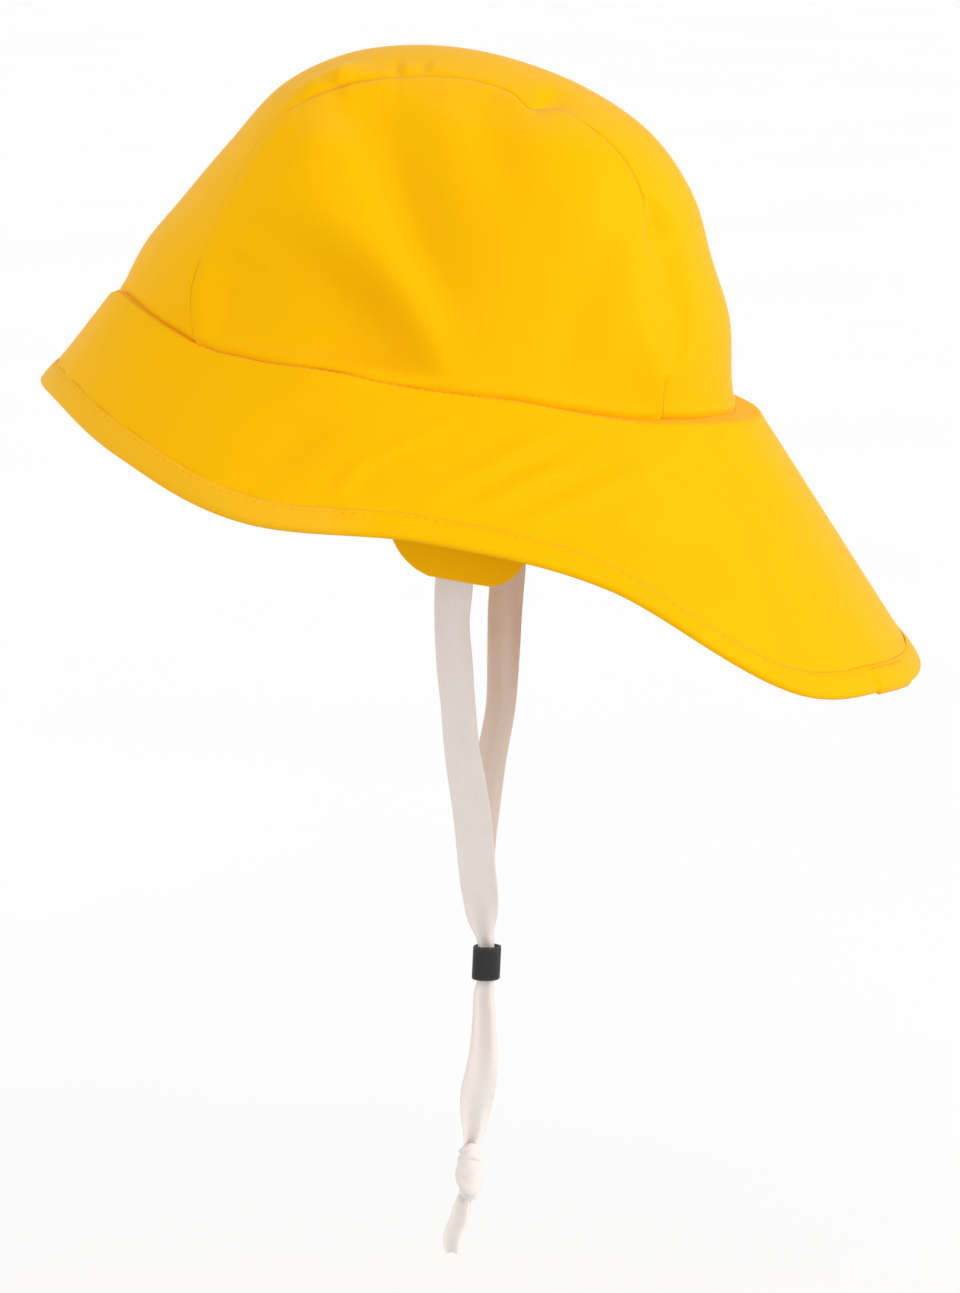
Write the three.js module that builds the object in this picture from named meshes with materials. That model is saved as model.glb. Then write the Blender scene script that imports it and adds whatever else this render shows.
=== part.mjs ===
// A yellow waterproof sou'wester hat with its chin tapes hanging, in millimetres.
// The front of the brim points along -Y, the wearer's left along +X and up along +Z.
// The origin is the middle of the oval where the head fills the crown.

import * as THREE from "three";
import { mergeVertices } from "three/addons/utils/BufferGeometryUtils.js";

// Seat: the oval seam between crown and brim
const seatHalfLength = 107;
const seatHalfWidth = 83;
const hatTip = THREE.MathUtils.degToRad(10);

// Cloth
const seamGap = 0.3;
const crownWall = 1.4;
const brimWall = 1.8;
const flapWall = 1.5;

// Crown
const crownDepth = 104;

// Brim and its folded binding
const frontBrim = 37;
const sideBrim = 58;
const neckFlap = 101;
const ledgeMost = 8.5;
const brimBend = 3;
const bindingWidth = 8;
const bindingWall = 1;
const bindingLap = 0.8;

// Ear flaps
const flapDrop = 64.5;
const flapHalfWidth = 45;
const flapMiddle = THREE.MathUtils.degToRad(102);
const flapLean = 9;

// Chin tapes, their toggle and knot
const tapeWidth = 12.5;
const tapeWall = 0.9;
const toggleHeight = 11.8;
const toggleHalfLength = 5;
const toggleHalfWidth = 4.4;
const toggleHoleHalfLength = 3.6;
const toggleHoleHalfWidth = 2.4;
const toggleRim = 0.9;
const knotHeight = 18.4;
const knotHalfLength = 4.7;
const knotHalfWidth = 4.2;
const endWall = 2.2;

// Mid line of the crown from the front seat to the back seat, and the seam beside it
// along: share of seatHalfLength; up: share of crownDepth
// halfWidth: seam from the mid line, share of seatHalfWidth; draw: seam's share of the way out to the mid line
const crownLine = table(
  ["along", "up", "halfWidth", "draw"],
  [
    [-1.0, 0.0, 0.755, 0.656],
    [-0.936, 0.202, 0.71, 0.745],
    [-0.858, 0.342, 0.665, 0.795],
    [-0.73, 0.565, 0.575, 0.87],
    [-0.583, 0.792, 0.455, 0.913],
    [-0.404, 0.918, 0.38, 0.918],
    [-0.22, 0.978, 0.335, 0.92],
    [-0.03, 1.0, 0.32, 0.93],
    [0.165, 0.986, 0.335, 0.935],
    [0.366, 0.938, 0.37, 0.945],
    [0.596, 0.821, 0.43, 0.932],
    [0.75, 0.654, 0.5, 0.89],
    [0.838, 0.472, 0.55, 0.865],
    [0.928, 0.29, 0.59, 0.845],
    [0.975, 0.08, 0.59, 0.823],
    [1.0, 0.0, 0.59, 0.8074],
  ],
);

// Soft folds of the near side panel, seen from the side
// along, up: middle, shares of seatHalfLength and crownDepth; turn: degrees from level
// length, width: shares of crownDepth; depth: share of crownWall, in is negative
const crownFolds = table(
  ["along", "up", "turn", "length", "width", "depth"],
  [
    [0.02, 0.72, -68, 0.55, 0.11, -2.2],
    [-0.3, 0.42, -46, 0.62, 0.16, -2.0],
    [-0.08, 0.42, -60, 0.5, 0.12, 1.6],
    [0.66, 0.36, 84, 0.5, 0.07, 2.6],
    [0.55, 0.34, 84, 0.5, 0.08, -1.8],
    [-0.6, 0.42, 80, 0.5, 0.1, 1.2],
  ],
);

// Brim round the seat, the same on both sides
// turn: degrees from the front; slope: degrees below level; ledge: share of ledgeMost
// front, side, back: shares of frontBrim, sideBrim and neckFlap that add up to the brim's length
const brimLine = table(
  ["turn", "slope", "front", "side", "back", "ledge"],
  [
    [0, 61, 1.0, 0.0, 0.0, 0.3],
    [25, 59, 1.0, 0.0, 0.0, 0.25],
    [50, 55, 0.45, 0.53, 0.0, 0.18],
    [75, 51, 0.0, 1.03, 0.0, 0.15],
    [100, 48.5, 0.0, 0.955, 0.0, 0.2],
    [125, 47.5, 0.0, 0.45, 0.375, 0.4],
    [150, 47.5, 0.0, 0.0, 0.985, 0.8],
    [165, 47.5, 0.0, 0.0, 0.99, 1.0],
    [180, 47.5, 0.0, 0.0, 1.0, 1.0],
  ],
);

// Soft folds of the near side of the brim
// turn: degrees from the front; reach: share of the brim's length; tilt: degrees from the hem's line
// length, width: shares of frontBrim; depth: share of brimWall, in is negative
const brimFolds = table(
  ["turn", "reach", "tilt", "length", "width", "depth"],
  [
    [77, 0.5, 70, 1.1, 0.3, -1.1],
    [98, 0.55, 38, 1.5, 0.16, 1.3],
    [107, 0.6, 36, 1.5, 0.14, -1.2],
    [115, 0.5, 34, 1.4, 0.16, 1.2],
    [140, 0.45, 60, 1.4, 0.4, -1.1],
  ],
);

// Lap of the binding's two ends at the back: degrees from the front
const lapStart = 163;
const lapEnd = 172;
const lapStep = 0.5;

// Outline of an ear flap: drop down its middle and half width, shares of flapDrop and flapHalfWidth
const flapLine = table(
  ["drop", "half"],
  [
    [0, 1],
    [0.3, 0.84],
    [0.6, 0.61],
    [0.8, 0.46],
    [0.92, 0.39],
    [0.98, 0.31],
    [1, 0.22],
  ],
);

// Routes of the chin tapes from the ear flaps through the toggle to the knot
// x, y, z: the middle of the tape; width: share of tapeWidth
const leftRoute = [
  [70.0, 18.2, -57.5, 1.0],
  [69.0, 18.2, -62.0, 1.0],
  [67.9, 18.1, -66.5, 1.0],
  [66.4, 17.6, -71.5, 1.0],
  [61.2, 16.4, -82.0, 0.94],
  [54.2, 16.3, -96.3, 0.98],
  [46.1, 16.5, -112.7, 0.96],
  [38.2, 16.8, -129.0, 0.98],
  [30.1, 18.0, -145.3, 1.04],
  [22.0, 18.9, -161.8, 1.04],
  [15.2, 19.2, -176.0, 1.02],
  [9.3, 19.6, -187.6, 0.98],
  [5.0, 19.8, -196.4, 0.8],
  [2.4, 20.2, -202.0, 0.52],
  [0.8, 20.7, -207.0, 0.46],
  [0.8, 20.5, -215.0, 0.44],
  [0.8, 19.7, -224.0, 0.58],
  [0.8, 19.9, -233.0, 0.69],
  [0.8, 19.7, -243.0, 0.8],
  [0.8, 18.9, -251.5, 0.92],
  [0.8, 17.7, -258.0, 0.97],
  [0.8, 16.8, -265.0, 0.86],
  [0.8, 16.5, -272.0, 0.71],
  [0.8, 15.6, -278.4, 0.58],
];
const rightRoute = [
  [-69.8, 20.6, -57.5, 1.0],
  [-68.8, 20.6, -62.0, 1.0],
  [-67.7, 20.7, -66.5, 1.0],
  [-66.4, 20.8, -71.5, 1.0],
  [-61.2, 20.8, -82.0, 1.0],
  [-54.2, 20.6, -96.3, 0.98],
  [-46.1, 20.5, -112.7, 0.98],
  [-38.2, 20.0, -129.0, 1.0],
  [-30.1, 18.3, -145.3, 1.0],
  [-22.0, 16.6, -161.8, 1.0],
  [-15.2, 15.5, -176.0, 1.0],
  [-9.3, 16.4, -187.6, 0.94],
  [-5.0, 18.6, -196.4, 0.72],
  [-2.4, 20.0, -202.0, 0.48],
  [-0.8, 20.7, -207.0, 0.42],
  [-0.8, 20.5, -215.0, 0.42],
  [-0.8, 19.9, -224.0, 0.54],
  [-0.8, 20.1, -233.0, 0.62],
  [-0.8, 19.5, -243.0, 0.74],
  [-0.8, 18.6, -251.5, 0.84],
  [-0.8, 17.3, -258.0, 0.88],
  [-0.8, 16.6, -265.0, 0.8],
  [-0.8, 16.3, -272.0, 0.66],
  [-0.8, 15.5, -278.4, 0.56],
];
const togglePlace = [0, 20.6, -212];

// Route of the folded end, from the foot of the knot
const endRoute = [
  [0, -1.8, 0.0, 0.5],
  [0, -2.6, -3.2, 0.52],
  [0, -3.8, -6.8, 0.5],
  [0, -5.4, -10.5, 0.48],
  [0, -6.0, -14.1, 0.5],
  [0, -5.6, -17.7, 0.4],
  [0, -5.6, -19.2, 0.24],
];
const knotOffset = 0.8;
const [, knotAlong, routeEnd] = leftRoute[leftRoute.length - 1];
const knotPlace = [0, knotAlong - knotOffset, routeEnd - seamGap];
const endPlace = [0, knotPlace[1], knotPlace[2] - knotHeight - seamGap];

// Steps of the meshes
const crownSteps = 28;
const bandSteps = 8;
const panelSteps = 8;
const brimSteps = 72;
const brimRows = 5;
const flapSteps = 8;
const toggleSides = 24;
const knotSides = 16;
const knotRows = 10;

const yellow = new THREE.MeshStandardMaterial({ color: 0xffc60a, roughness: 0.5, metalness: 0 });
const paleTape = new THREE.MeshStandardMaterial({ color: 0xddd3cb, roughness: 0.9, metalness: 0 });
const darkPlastic = new THREE.MeshStandardMaterial({ color: 0x24262a, roughness: 0.45, metalness: 0 });

// Rows of numbers with named columns
function table(names, rows) {
  const columns = {};
  names.forEach((name, at) => {
    columns[name] = rows.map((row) => row[at]);
  });
  return columns;
}

// Slope at each row of a table column, from the rows on both sides of it
function slopes(stations, values, levelEnds) {
  return values.map((value, i) => {
    if (i === 0 || i === values.length - 1) {
      const from = Math.min(i, values.length - 2);
      const rise = (values[from + 1] - values[from]) / (stations[from + 1] - stations[from]);
      return levelEnds ? 0 : rise;
    }
    const before = stations[i] - stations[i - 1];
    const after = stations[i + 1] - stations[i];
    const riseBefore = (value - values[i - 1]) / before;
    const riseAfter = (values[i + 1] - value) / after;
    return (riseBefore * after + riseAfter * before) / (before + after);
  });
}

// Smooth function through the rows of a table column
function through(stations, values, levelEnds = false) {
  const slope = slopes(stations, values, levelEnds);
  return (place) => {
    let i = 0;
    while (i < stations.length - 2 && place > stations[i + 1]) i += 1;
    const width = stations[i + 1] - stations[i];
    const s = (place - stations[i]) / width;
    const rise = s * s * (3 - 2 * s);
    const leave = s * (1 - s) * (1 - s) * width;
    const arrive = s * s * (1 - s) * width;
    return values[i] * (1 - rise) + values[i + 1] * rise + slope[i] * leave - slope[i + 1] * arrive;
  };
}

// Stations of the crown line by its length, from 0 to 1
function lengthStations(along, up) {
  const stations = [0];
  for (let i = 1; i < along.length; i += 1) {
    const step = Math.hypot(along[i] - along[i - 1], up[i] - up[i - 1]);
    stations.push(stations[i - 1] + step);
  }
  return stations.map((station) => station / stations[stations.length - 1]);
}

const scaled = (values, size) => values.map((value) => value * size);
const midAlong = scaled(crownLine.along, seatHalfLength);
const midUp = scaled(crownLine.up, crownDepth);
const crownStations = lengthStations(midAlong, midUp);
const along = through(crownStations, midAlong);
const up = through(crownStations, midUp);
const seamHalf = through(crownStations, scaled(crownLine.halfWidth, seatHalfWidth));
const seamDraw = through(crownStations, crownLine.draw);

// Outer face of the centre band: place 0 to 1 from front to back, across -1 to 1 from seam to seam
function bandPoint(place, across) {
  const draw = seamDraw(place);
  const share = Math.sqrt(1 - (1 - draw * draw) * across * across);
  return new THREE.Vector3(seamHalf(place) * across, along(place) * share, up(place) * share);
}

// Seat oval at a turn from the front towards the wearer's left, and its level outward direction
const seatPoint = (turn) =>
  new THREE.Vector3(seatHalfWidth * Math.sin(turn), -seatHalfLength * Math.cos(turn), 0);
const seatOut = (turn) =>
  new THREE.Vector3(Math.sin(turn) / seatHalfWidth, -Math.cos(turn) / seatHalfLength, 0).normalize();

// Turn of the two corners where the seam meets the seat
const frontCorner = Math.asin(crownLine.halfWidth[0]);
const backCorner = Math.PI - Math.asin(crownLine.halfWidth[crownLine.halfWidth.length - 1]);
const panelLean = Math.tan(THREE.MathUtils.degToRad(14));
const seamHandleShare = 0.36;
const seatHandleShare = 0.42;
const insetShare = 0.95;
const cornerBlunt = 0.005;
const startMost = 0.3;

// Height of a fold: it runs out lengthwise more gently than sidewise, and fades to the panel's edges
const foldTaper = 4;
const foldEdgePower = 0.5;
const foldShare = (lengthwise, sidewise) =>
  Math.exp(-foldTaper * lengthwise * lengthwise - sidewise * sidewise);

// How far the folds of the near panel push its face out
function crownFold(point) {
  let push = 0;
  crownFolds.turn.forEach((turn, i) => {
    const angle = THREE.MathUtils.degToRad(turn);
    const y = point.y - crownFolds.along[i] * seatHalfLength;
    const z = point.z - crownFolds.up[i] * crownDepth;
    const lengthwise = (y * Math.cos(angle) + z * Math.sin(angle)) / (crownFolds.length[i] * crownDepth);
    const sidewise = (z * Math.cos(angle) - y * Math.sin(angle)) / (crownFolds.width[i] * crownDepth);
    push += crownFolds.depth[i] * crownWall * foldShare(lengthwise, sidewise);
  });
  return push;
}

// Outer face of a side panel: place 0 to 1 along its seam, down 0 to 1 from the seam to the seat
function panelPoint(place, down, folded) {
  const seam = bandPoint(place, 1);
  const turn = frontCorner + (backCorner - frontCorner) * place;
  const seat = seatPoint(turn);
  const span = seam.distanceTo(seat);
  const nearSeam = bandPoint(place, 1).sub(bandPoint(place, insetShare)).setLength(span * seamHandleShare);
  const nearSeat = seatOut(turn).multiplyScalar(-panelLean).setZ(1).setLength(span * seatHandleShare);
  const curve = new THREE.CubicBezierCurve3(
    seam,
    seam.clone().add(nearSeam),
    seat.clone().add(nearSeat),
    seat,
  );
  const point = curve.getPoint(down);
  if (!folded) return point;
  const edge = Math.sin(Math.PI * down) ** foldEdgePower;
  return point.setLength(point.length() + crownFold(point) * edge);
}

// The crown's inner face lies towards the middle of the seat
const inward = (point, wall) => point.clone().setLength(point.length() - wall);

// Closed solid between two faces given on the same grid, ringed or with four edges
function sheet(outside, inside, columns, rows, ringed = false) {
  const points = [];
  const last = ringed ? columns - 1 : columns;
  for (const face of [outside, inside]) {
    for (let i = 0; i <= last; i += 1) {
      for (let j = 0; j <= rows; j += 1) points.push(...face(i, j).toArray());
    }
  }
  const inner = (last + 1) * (rows + 1);
  const at = (i, j) => (i % (last + 1)) * (rows + 1) + j;
  const index = [];
  const quad = (a, b, c, d) => index.push(a, b, c, a, c, d);
  for (let i = 0; i < columns; i += 1) {
    for (let j = 0; j < rows; j += 1) {
      const [a, b, c, d] = [at(i, j), at(i, j + 1), at(i + 1, j + 1), at(i + 1, j)];
      quad(a, b, c, d);
      quad(d + inner, c + inner, b + inner, a + inner);
    }
    quad(at(i, 0), at(i + 1, 0), at(i + 1, 0) + inner, at(i, 0) + inner);
    quad(at(i + 1, rows), at(i, rows), at(i, rows) + inner, at(i + 1, rows) + inner);
  }
  for (let j = 0; j < rows && !ringed; j += 1) {
    quad(at(0, j + 1), at(0, j), at(0, j) + inner, at(0, j + 1) + inner);
    quad(at(last, j), at(last, j + 1), at(last, j + 1) + inner, at(last, j) + inner);
  }
  return solid(points, index);
}

// Indexed geometry with its normals
function solid(points, index) {
  const geometry = new THREE.BufferGeometry();
  geometry.setAttribute("position", new THREE.Float32BufferAttribute(points, 3));
  geometry.setIndex(index);
  geometry.computeVertexNormals();
  return geometry;
}

// The same solid on the other side of the mid plane
function mirrored(geometry) {
  const copy = geometry.clone().scale(-1, 1, 1);
  const index = copy.index.array;
  for (let i = 0; i < index.length; i += 3) {
    [index[i + 1], index[i + 2]] = [index[i + 2], index[i + 1]];
  }
  copy.computeVertexNormals();
  return copy;
}

// Centre band of the crown, half a gap short of each seam
function crownBand() {
  const face = (i, j) => {
    const place = i / crownSteps;
    const edge = 1 - seamGap / 2 / seamHalf(place);
    return bandPoint(place, edge * ((2 * j) / bandSteps - 1));
  };
  return sheet(face, (i, j) => inward(face(i, j), crownWall), crownSteps, bandSteps);
}

// Side panel of the crown, blunt at its two corners
function crownSide(folded) {
  const face = (i, j) => {
    const place = cornerBlunt + (1 - 2 * cornerBlunt) * (i / crownSteps);
    const span = bandPoint(place, 1).distanceTo(seatPoint(frontCorner + (backCorner - frontCorner) * place));
    const start = Math.min(seamGap / 2 / (3 * seamHandleShare * span), startMost);
    const down = start + (1 - start) * (j / panelSteps);
    return panelPoint(place, down, folded);
  };
  return sheet(face, (i, j) => inward(face(i, j), crownWall), crownSteps, panelSteps);
}

const turns = scaled(brimLine.turn, Math.PI / 180);
const slopeAt = through(turns, scaled(brimLine.slope, Math.PI / 180), true);
const ledgeAt = through(turns, scaled(brimLine.ledge, ledgeMost), true);
const lengthAt = through(
  turns,
  brimLine.front.map(
    (share, i) => share * frontBrim + brimLine.side[i] * sideBrim + brimLine.back[i] * neckFlap,
  ),
  true,
);

// Radius that the brim gains for each millimetre of its reach
const brimSpread = 0.6;

// How far the folds of the near side of the brim push its face out
function brimFold(turn, reach) {
  let push = 0;
  brimFolds.turn.forEach((middle, i) => {
    const angle = THREE.MathUtils.degToRad(brimFolds.tilt[i]);
    const round = (turn - THREE.MathUtils.degToRad(middle)) * (seatHalfWidth + reach * brimSpread);
    const out = reach - brimFolds.reach[i] * lengthAt(turn);
    const lengthwise = (round * Math.cos(angle) - out * Math.sin(angle)) / (brimFolds.length[i] * frontBrim);
    const sidewise = (out * Math.cos(angle) + round * Math.sin(angle)) / (brimFolds.width[i] * frontBrim);
    push += brimFolds.depth[i] * brimWall * foldShare(lengthwise, sidewise);
  });
  return push;
}

// Folds fade out over this distance from the seam and from the binding
const foldFade = 10;

// A point of the brim: turn from the front, reach down its slope and lift off its outer face
// A reach below 0 lies on the level ledge that starts under the crown's wall
function brimPoint(turn, reach, lift) {
  const left = turn <= Math.PI;
  const halfTurn = left ? turn : 2 * Math.PI - turn;
  const slope = slopeAt(halfTurn);
  const lean = slope * THREE.MathUtils.clamp(reach / brimBend + 0.5, 0, 1);
  const room = Math.min(reach, lengthAt(halfTurn) - bindingWidth - reach) / foldFade;
  const fold = left ? brimFold(turn, reach) * THREE.MathUtils.smoothstep(room, 0, 1) : 0;
  const away = Math.max(reach, 0);
  const rise = lift + fold;
  const level = ledgeAt(halfTurn) + Math.min(reach, 0) + away * Math.cos(slope) + rise * Math.sin(lean);
  const height = -seamGap - away * Math.sin(slope) + rise * Math.cos(lean);
  return seatPoint(turn).addScaledVector(seatOut(turn), level).setZ(height);
}

// Turns in degrees at which the brim and its binding are drawn, with the two ends of the lap
const brimStations = [...Array(brimSteps).keys()]
  .map((i) => (360 * i) / brimSteps)
  .filter((degrees) => degrees <= lapStart - lapStep || degrees >= lapEnd + lapStep)
  .concat(lapStart, lapStart + lapStep, lapEnd - lapStep, lapEnd)
  .sort((a, b) => a - b);

// Flared brim with its neck flap
function brim() {
  const face = (i, j, lift) => {
    const turn = THREE.MathUtils.degToRad(brimStations[i]);
    const halfTurn = Math.min(turn, 2 * Math.PI - turn);
    const start = -ledgeAt(halfTurn) - crownWall;
    const end = lengthAt(halfTurn);
    const top = brimBend / 2;
    const steps = [start, 0];
    for (let k = 0; k < brimRows; k += 1) steps.push(top + ((end - bindingWidth - top) * k) / (brimRows - 1));
    steps.push(end);
    return brimPoint(turn, steps[j], lift);
  };
  const outside = (i, j) => face(i, j, 0);
  const inside = (i, j) => face(i, j, -brimWall);
  return sheet(outside, inside, brimStations.length, brimRows + 2, true);
}

// Rounding of the binding's edge: how far out and how far in its two shoulders lie, shares of bindingWall
const shoulderOut = 0.8;
const shoulderIn = 0.5;

// Folded binding round the brim's edge, thicker where its ends lap
function brimBinding() {
  const section = (degrees) => {
    const turn = THREE.MathUtils.degToRad(degrees);
    const end = lengthAt(Math.min(turn, 2 * Math.PI - turn));
    const lap = degrees > lapStart && degrees < lapEnd ? bindingLap : 0;
    const top = seamGap + bindingWall + lap;
    const under = -brimWall - seamGap - bindingWall;
    return [
      [end - bindingWidth, seamGap],
      [end - bindingWidth, top],
      [end, top],
      [end + seamGap + bindingWall * shoulderOut, top - bindingWall * shoulderIn],
      [end + seamGap + bindingWall, -brimWall / 2],
      [end + seamGap + bindingWall * shoulderOut, under + bindingWall * shoulderIn],
      [end, under],
      [end - bindingWidth, under],
      [end - bindingWidth, -brimWall - seamGap],
      [end + seamGap, -brimWall - seamGap],
      [end + seamGap, seamGap],
    ];
  };
  return ring(brimStations, section);
}

// Closed section carried round the brim at each station
function ring(stations, section) {
  const points = [];
  const index = [];
  const size = section(0).length;
  stations.forEach((degrees) => {
    const turn = THREE.MathUtils.degToRad(degrees);
    section(degrees).forEach(([reach, lift]) => points.push(...brimPoint(turn, reach, lift).toArray()));
  });
  stations.forEach((_, i) => {
    const next = (i + 1) % stations.length;
    for (let j = 0; j < size; j += 1) {
      const beside = (j + 1) % size;
      const [a, b, c, d] = [i * size + j, i * size + beside, next * size + beside, next * size + j];
      index.push(a, b, c, a, c, d);
    }
  });
  return solid(points, index);
}

// Ear flap hanging plumb inside the brim, from the seam
const flapHalf = through(flapLine.drop, scaled(flapLine.half, flapHalfWidth));
function earFlap() {
  const face = (i, j, inset) => {
    const share = flapLine.drop[j];
    const drop = seamGap + share * flapDrop;
    const sideways = flapHalf(share) * ((2 * i) / flapSteps - 1);
    const turn = flapMiddle + sideways / seatHalfLength;
    const inside = -crownWall - seamGap - inset - flapLean * share * share;
    const point = seatPoint(turn).addScaledVector(seatOut(turn), inside);
    return point.add(new THREE.Vector3(0, Math.sin(hatTip) * drop, -Math.cos(hatTip) * drop));
  };
  return sheet((i, j) => face(i, j, 0), (i, j) => face(i, j, flapWall), flapSteps, flapLine.drop.length - 1);
}

// Flat tape along a route, with its faces to the wearer's left and right
function tape(route, wall) {
  const curve = new THREE.CatmullRomCurve3(route.map(([x, y, z]) => new THREE.Vector3(x, y, z)));
  const steps = 2 * (route.length - 1);
  const stations = route.map((_, i) => i / (route.length - 1));
  const widthAt = through(stations, route.map((row) => row[3] * tapeWidth));
  const face = (i, j, side) => {
    const place = i / steps;
    const tangent = curve.getTangent(place);
    const across = new THREE.Vector3(0, 1, 0).addScaledVector(tangent, -tangent.y).normalize();
    const normal = new THREE.Vector3().crossVectors(across, tangent).normalize();
    const point = curve.getPoint(place);
    return point.addScaledVector(across, widthAt(place) * (j - 0.5)).addScaledVector(normal, side * wall);
  };
  return sheet((i, j) => face(i, j, 0.5), (i, j) => face(i, j, -0.5), steps, 1);
}

// Barrel toggle: a short oval tube with rounded rims
function toggle() {
  const half = toggleHeight / 2;
  const profile = [
    [toggleHoleHalfLength, -half + toggleRim],
    [toggleHoleHalfLength + toggleRim / 2, -half],
    [toggleHalfLength - toggleRim, -half],
    [toggleHalfLength, -half + toggleRim],
    [toggleHalfLength, half - toggleRim],
    [toggleHalfLength - toggleRim, half],
    [toggleHoleHalfLength + toggleRim / 2, half],
    [toggleHoleHalfLength, half - toggleRim],
    [toggleHoleHalfLength, -half + toggleRim],
  ].map(([radius, height]) => new THREE.Vector2(radius, height));
  const lathe = new THREE.LatheGeometry(profile, toggleSides).rotateX(Math.PI / 2);
  const position = lathe.getAttribute("position");
  const share = (radius) => (radius - toggleHoleHalfLength) / (toggleHalfLength - toggleHoleHalfLength);
  for (let i = 0; i < position.count; i += 1) {
    const radius = Math.hypot(position.getX(i), position.getY(i));
    const halfWidth = toggleHoleHalfWidth + share(radius) * (toggleHalfWidth - toggleHoleHalfWidth);
    position.setX(i, (position.getX(i) * halfWidth) / radius);
  }
  return merged(lathe);
}

// Geometry with shared vertices
function merged(geometry) {
  geometry.deleteAttribute("normal");
  geometry.deleteAttribute("uv");
  const joined = mergeVertices(geometry, 1e-3);
  joined.computeVertexNormals();
  return joined;
}

// Knot: a rounded bundle with a slanting groove round it
const knotSwell = 0.6;
const knotGroove = 0.12;
const knotTwist = 9;
function knot() {
  const points = [0, 0, 0];
  const index = [];
  for (let j = 1; j < knotRows; j += 1) {
    const share = j / knotRows;
    const swell = Math.sin(Math.PI * share) ** knotSwell;
    for (let i = 0; i < knotSides; i += 1) {
      const angle = (2 * Math.PI * i) / knotSides;
      const groove = 1 + knotGroove * Math.cos(2 * angle + knotTwist * share);
      points.push(knotHalfWidth * swell * groove * Math.cos(angle));
      points.push(knotHalfLength * swell * groove * Math.sin(angle));
      points.push(-knotHeight * share);
    }
  }
  points.push(0, 0, -knotHeight);
  const end = points.length / 3 - 1;
  for (let i = 0; i < knotSides; i += 1) {
    const next = (i + 1) % knotSides;
    index.push(0, 1 + i, 1 + next);
    for (let j = 0; j < knotRows - 2; j += 1) {
      const [a, b] = [1 + j * knotSides + i, 1 + j * knotSides + next];
      index.push(a, a + knotSides, b + knotSides, a, b + knotSides, b);
    }
    index.push(end, 1 + (knotRows - 2) * knotSides + next, 1 + (knotRows - 2) * knotSides + i);
  }
  return solid(points, index);
}

// Named mesh in its place
function piece(name, geometry, material, place = [0, 0, 0]) {
  const mesh = new THREE.Mesh(geometry, material);
  mesh.name = name;
  mesh.position.set(...place);
  return mesh;
}

const hat = new THREE.Group();
hat.rotation.x = -hatTip;
hat.add(piece("crown_band", crownBand(), yellow));
hat.add(piece("crown_side_left", crownSide(true), yellow));
hat.add(piece("crown_side_right", mirrored(crownSide(false)), yellow));
hat.add(piece("brim", brim(), yellow));
hat.add(piece("brim_binding", brimBinding(), yellow));
hat.add(piece("ear_flap_left", earFlap(), yellow));
hat.add(piece("ear_flap_right", mirrored(earFlap()), yellow));

const chinTapes = new THREE.Group();
chinTapes.add(piece("chin_tape_left", tape(leftRoute, tapeWall), paleTape));
chinTapes.add(piece("chin_tape_right", tape(rightRoute, tapeWall), paleTape));
chinTapes.add(piece("cord_toggle", toggle(), darkPlastic, togglePlace));
chinTapes.add(piece("tape_knot", knot(), paleTape, knotPlace));
chinTapes.add(piece("tape_end", tape(endRoute, endWall), paleTape, endPlace));

const souwester = new THREE.Group();
souwester.add(hat);
souwester.add(chinTapes);

export default souwester;
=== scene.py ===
# %% [markdown]
# # A yellow sou'wester hat
#
# A sou'wester is a rain hat: a deep crown sewn from three pieces, a brim that is short over the eyes
# and long over the neck, two ear flaps inside the brim, and a pair of tapes that tie under the chin.
# This lesson dresses a plain model of such a hat. Every surface is a function of two parameters,
# worked out on a grid with numpy and handed to Blender as a mesh. Lengths are in metres, the front
# points along -Y, the wearer's left along +X, and the origin is the middle of the head's oval.

import bpy
import numpy as np
from mathutils import Matrix, Vector


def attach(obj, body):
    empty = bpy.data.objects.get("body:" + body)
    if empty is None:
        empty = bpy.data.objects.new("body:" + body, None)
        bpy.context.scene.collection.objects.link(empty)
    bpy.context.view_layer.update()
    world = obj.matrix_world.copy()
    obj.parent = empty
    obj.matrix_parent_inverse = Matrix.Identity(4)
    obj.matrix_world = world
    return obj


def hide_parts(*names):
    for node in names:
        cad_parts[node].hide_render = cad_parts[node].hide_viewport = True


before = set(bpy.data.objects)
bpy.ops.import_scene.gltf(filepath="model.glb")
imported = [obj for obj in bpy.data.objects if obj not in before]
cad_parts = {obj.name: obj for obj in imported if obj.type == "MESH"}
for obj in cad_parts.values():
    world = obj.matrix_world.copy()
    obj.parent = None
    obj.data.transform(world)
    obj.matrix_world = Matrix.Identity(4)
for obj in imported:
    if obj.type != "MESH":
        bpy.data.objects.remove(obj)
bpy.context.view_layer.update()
mm = 0.001
print("nodes of the plain model:", len(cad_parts))

# %% [markdown]
# ## Camera
#
# The picture to match was taken from the wearer's left, a little behind and a little above, from
# far away. The camera is placed by its turn round the hat, its rise and its distance. The length of
# a picture pixel at the hat then gives the lens. Turning the camera by its three axes, as columns
# of a matrix, leaves no doubt about which way is up.

# %% Camera
photo_width = 960
pixel = 0.3402 * mm
view_turn = np.radians(97)
view_rise = np.radians(10)
view_distance = 2.0
aim_right = 18.2 * mm
aim_up = -100 * mm
sensor = 36

level_back = np.array([np.sin(view_turn), -np.cos(view_turn), 0.0])
view_back = level_back * np.cos(view_rise) + np.array([0.0, 0.0, np.sin(view_rise)])
view_right = np.array([np.cos(view_turn), np.sin(view_turn), 0.0])
view_up = np.cross(view_back, view_right)
aim = aim_right * view_right + aim_up * view_up

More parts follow.
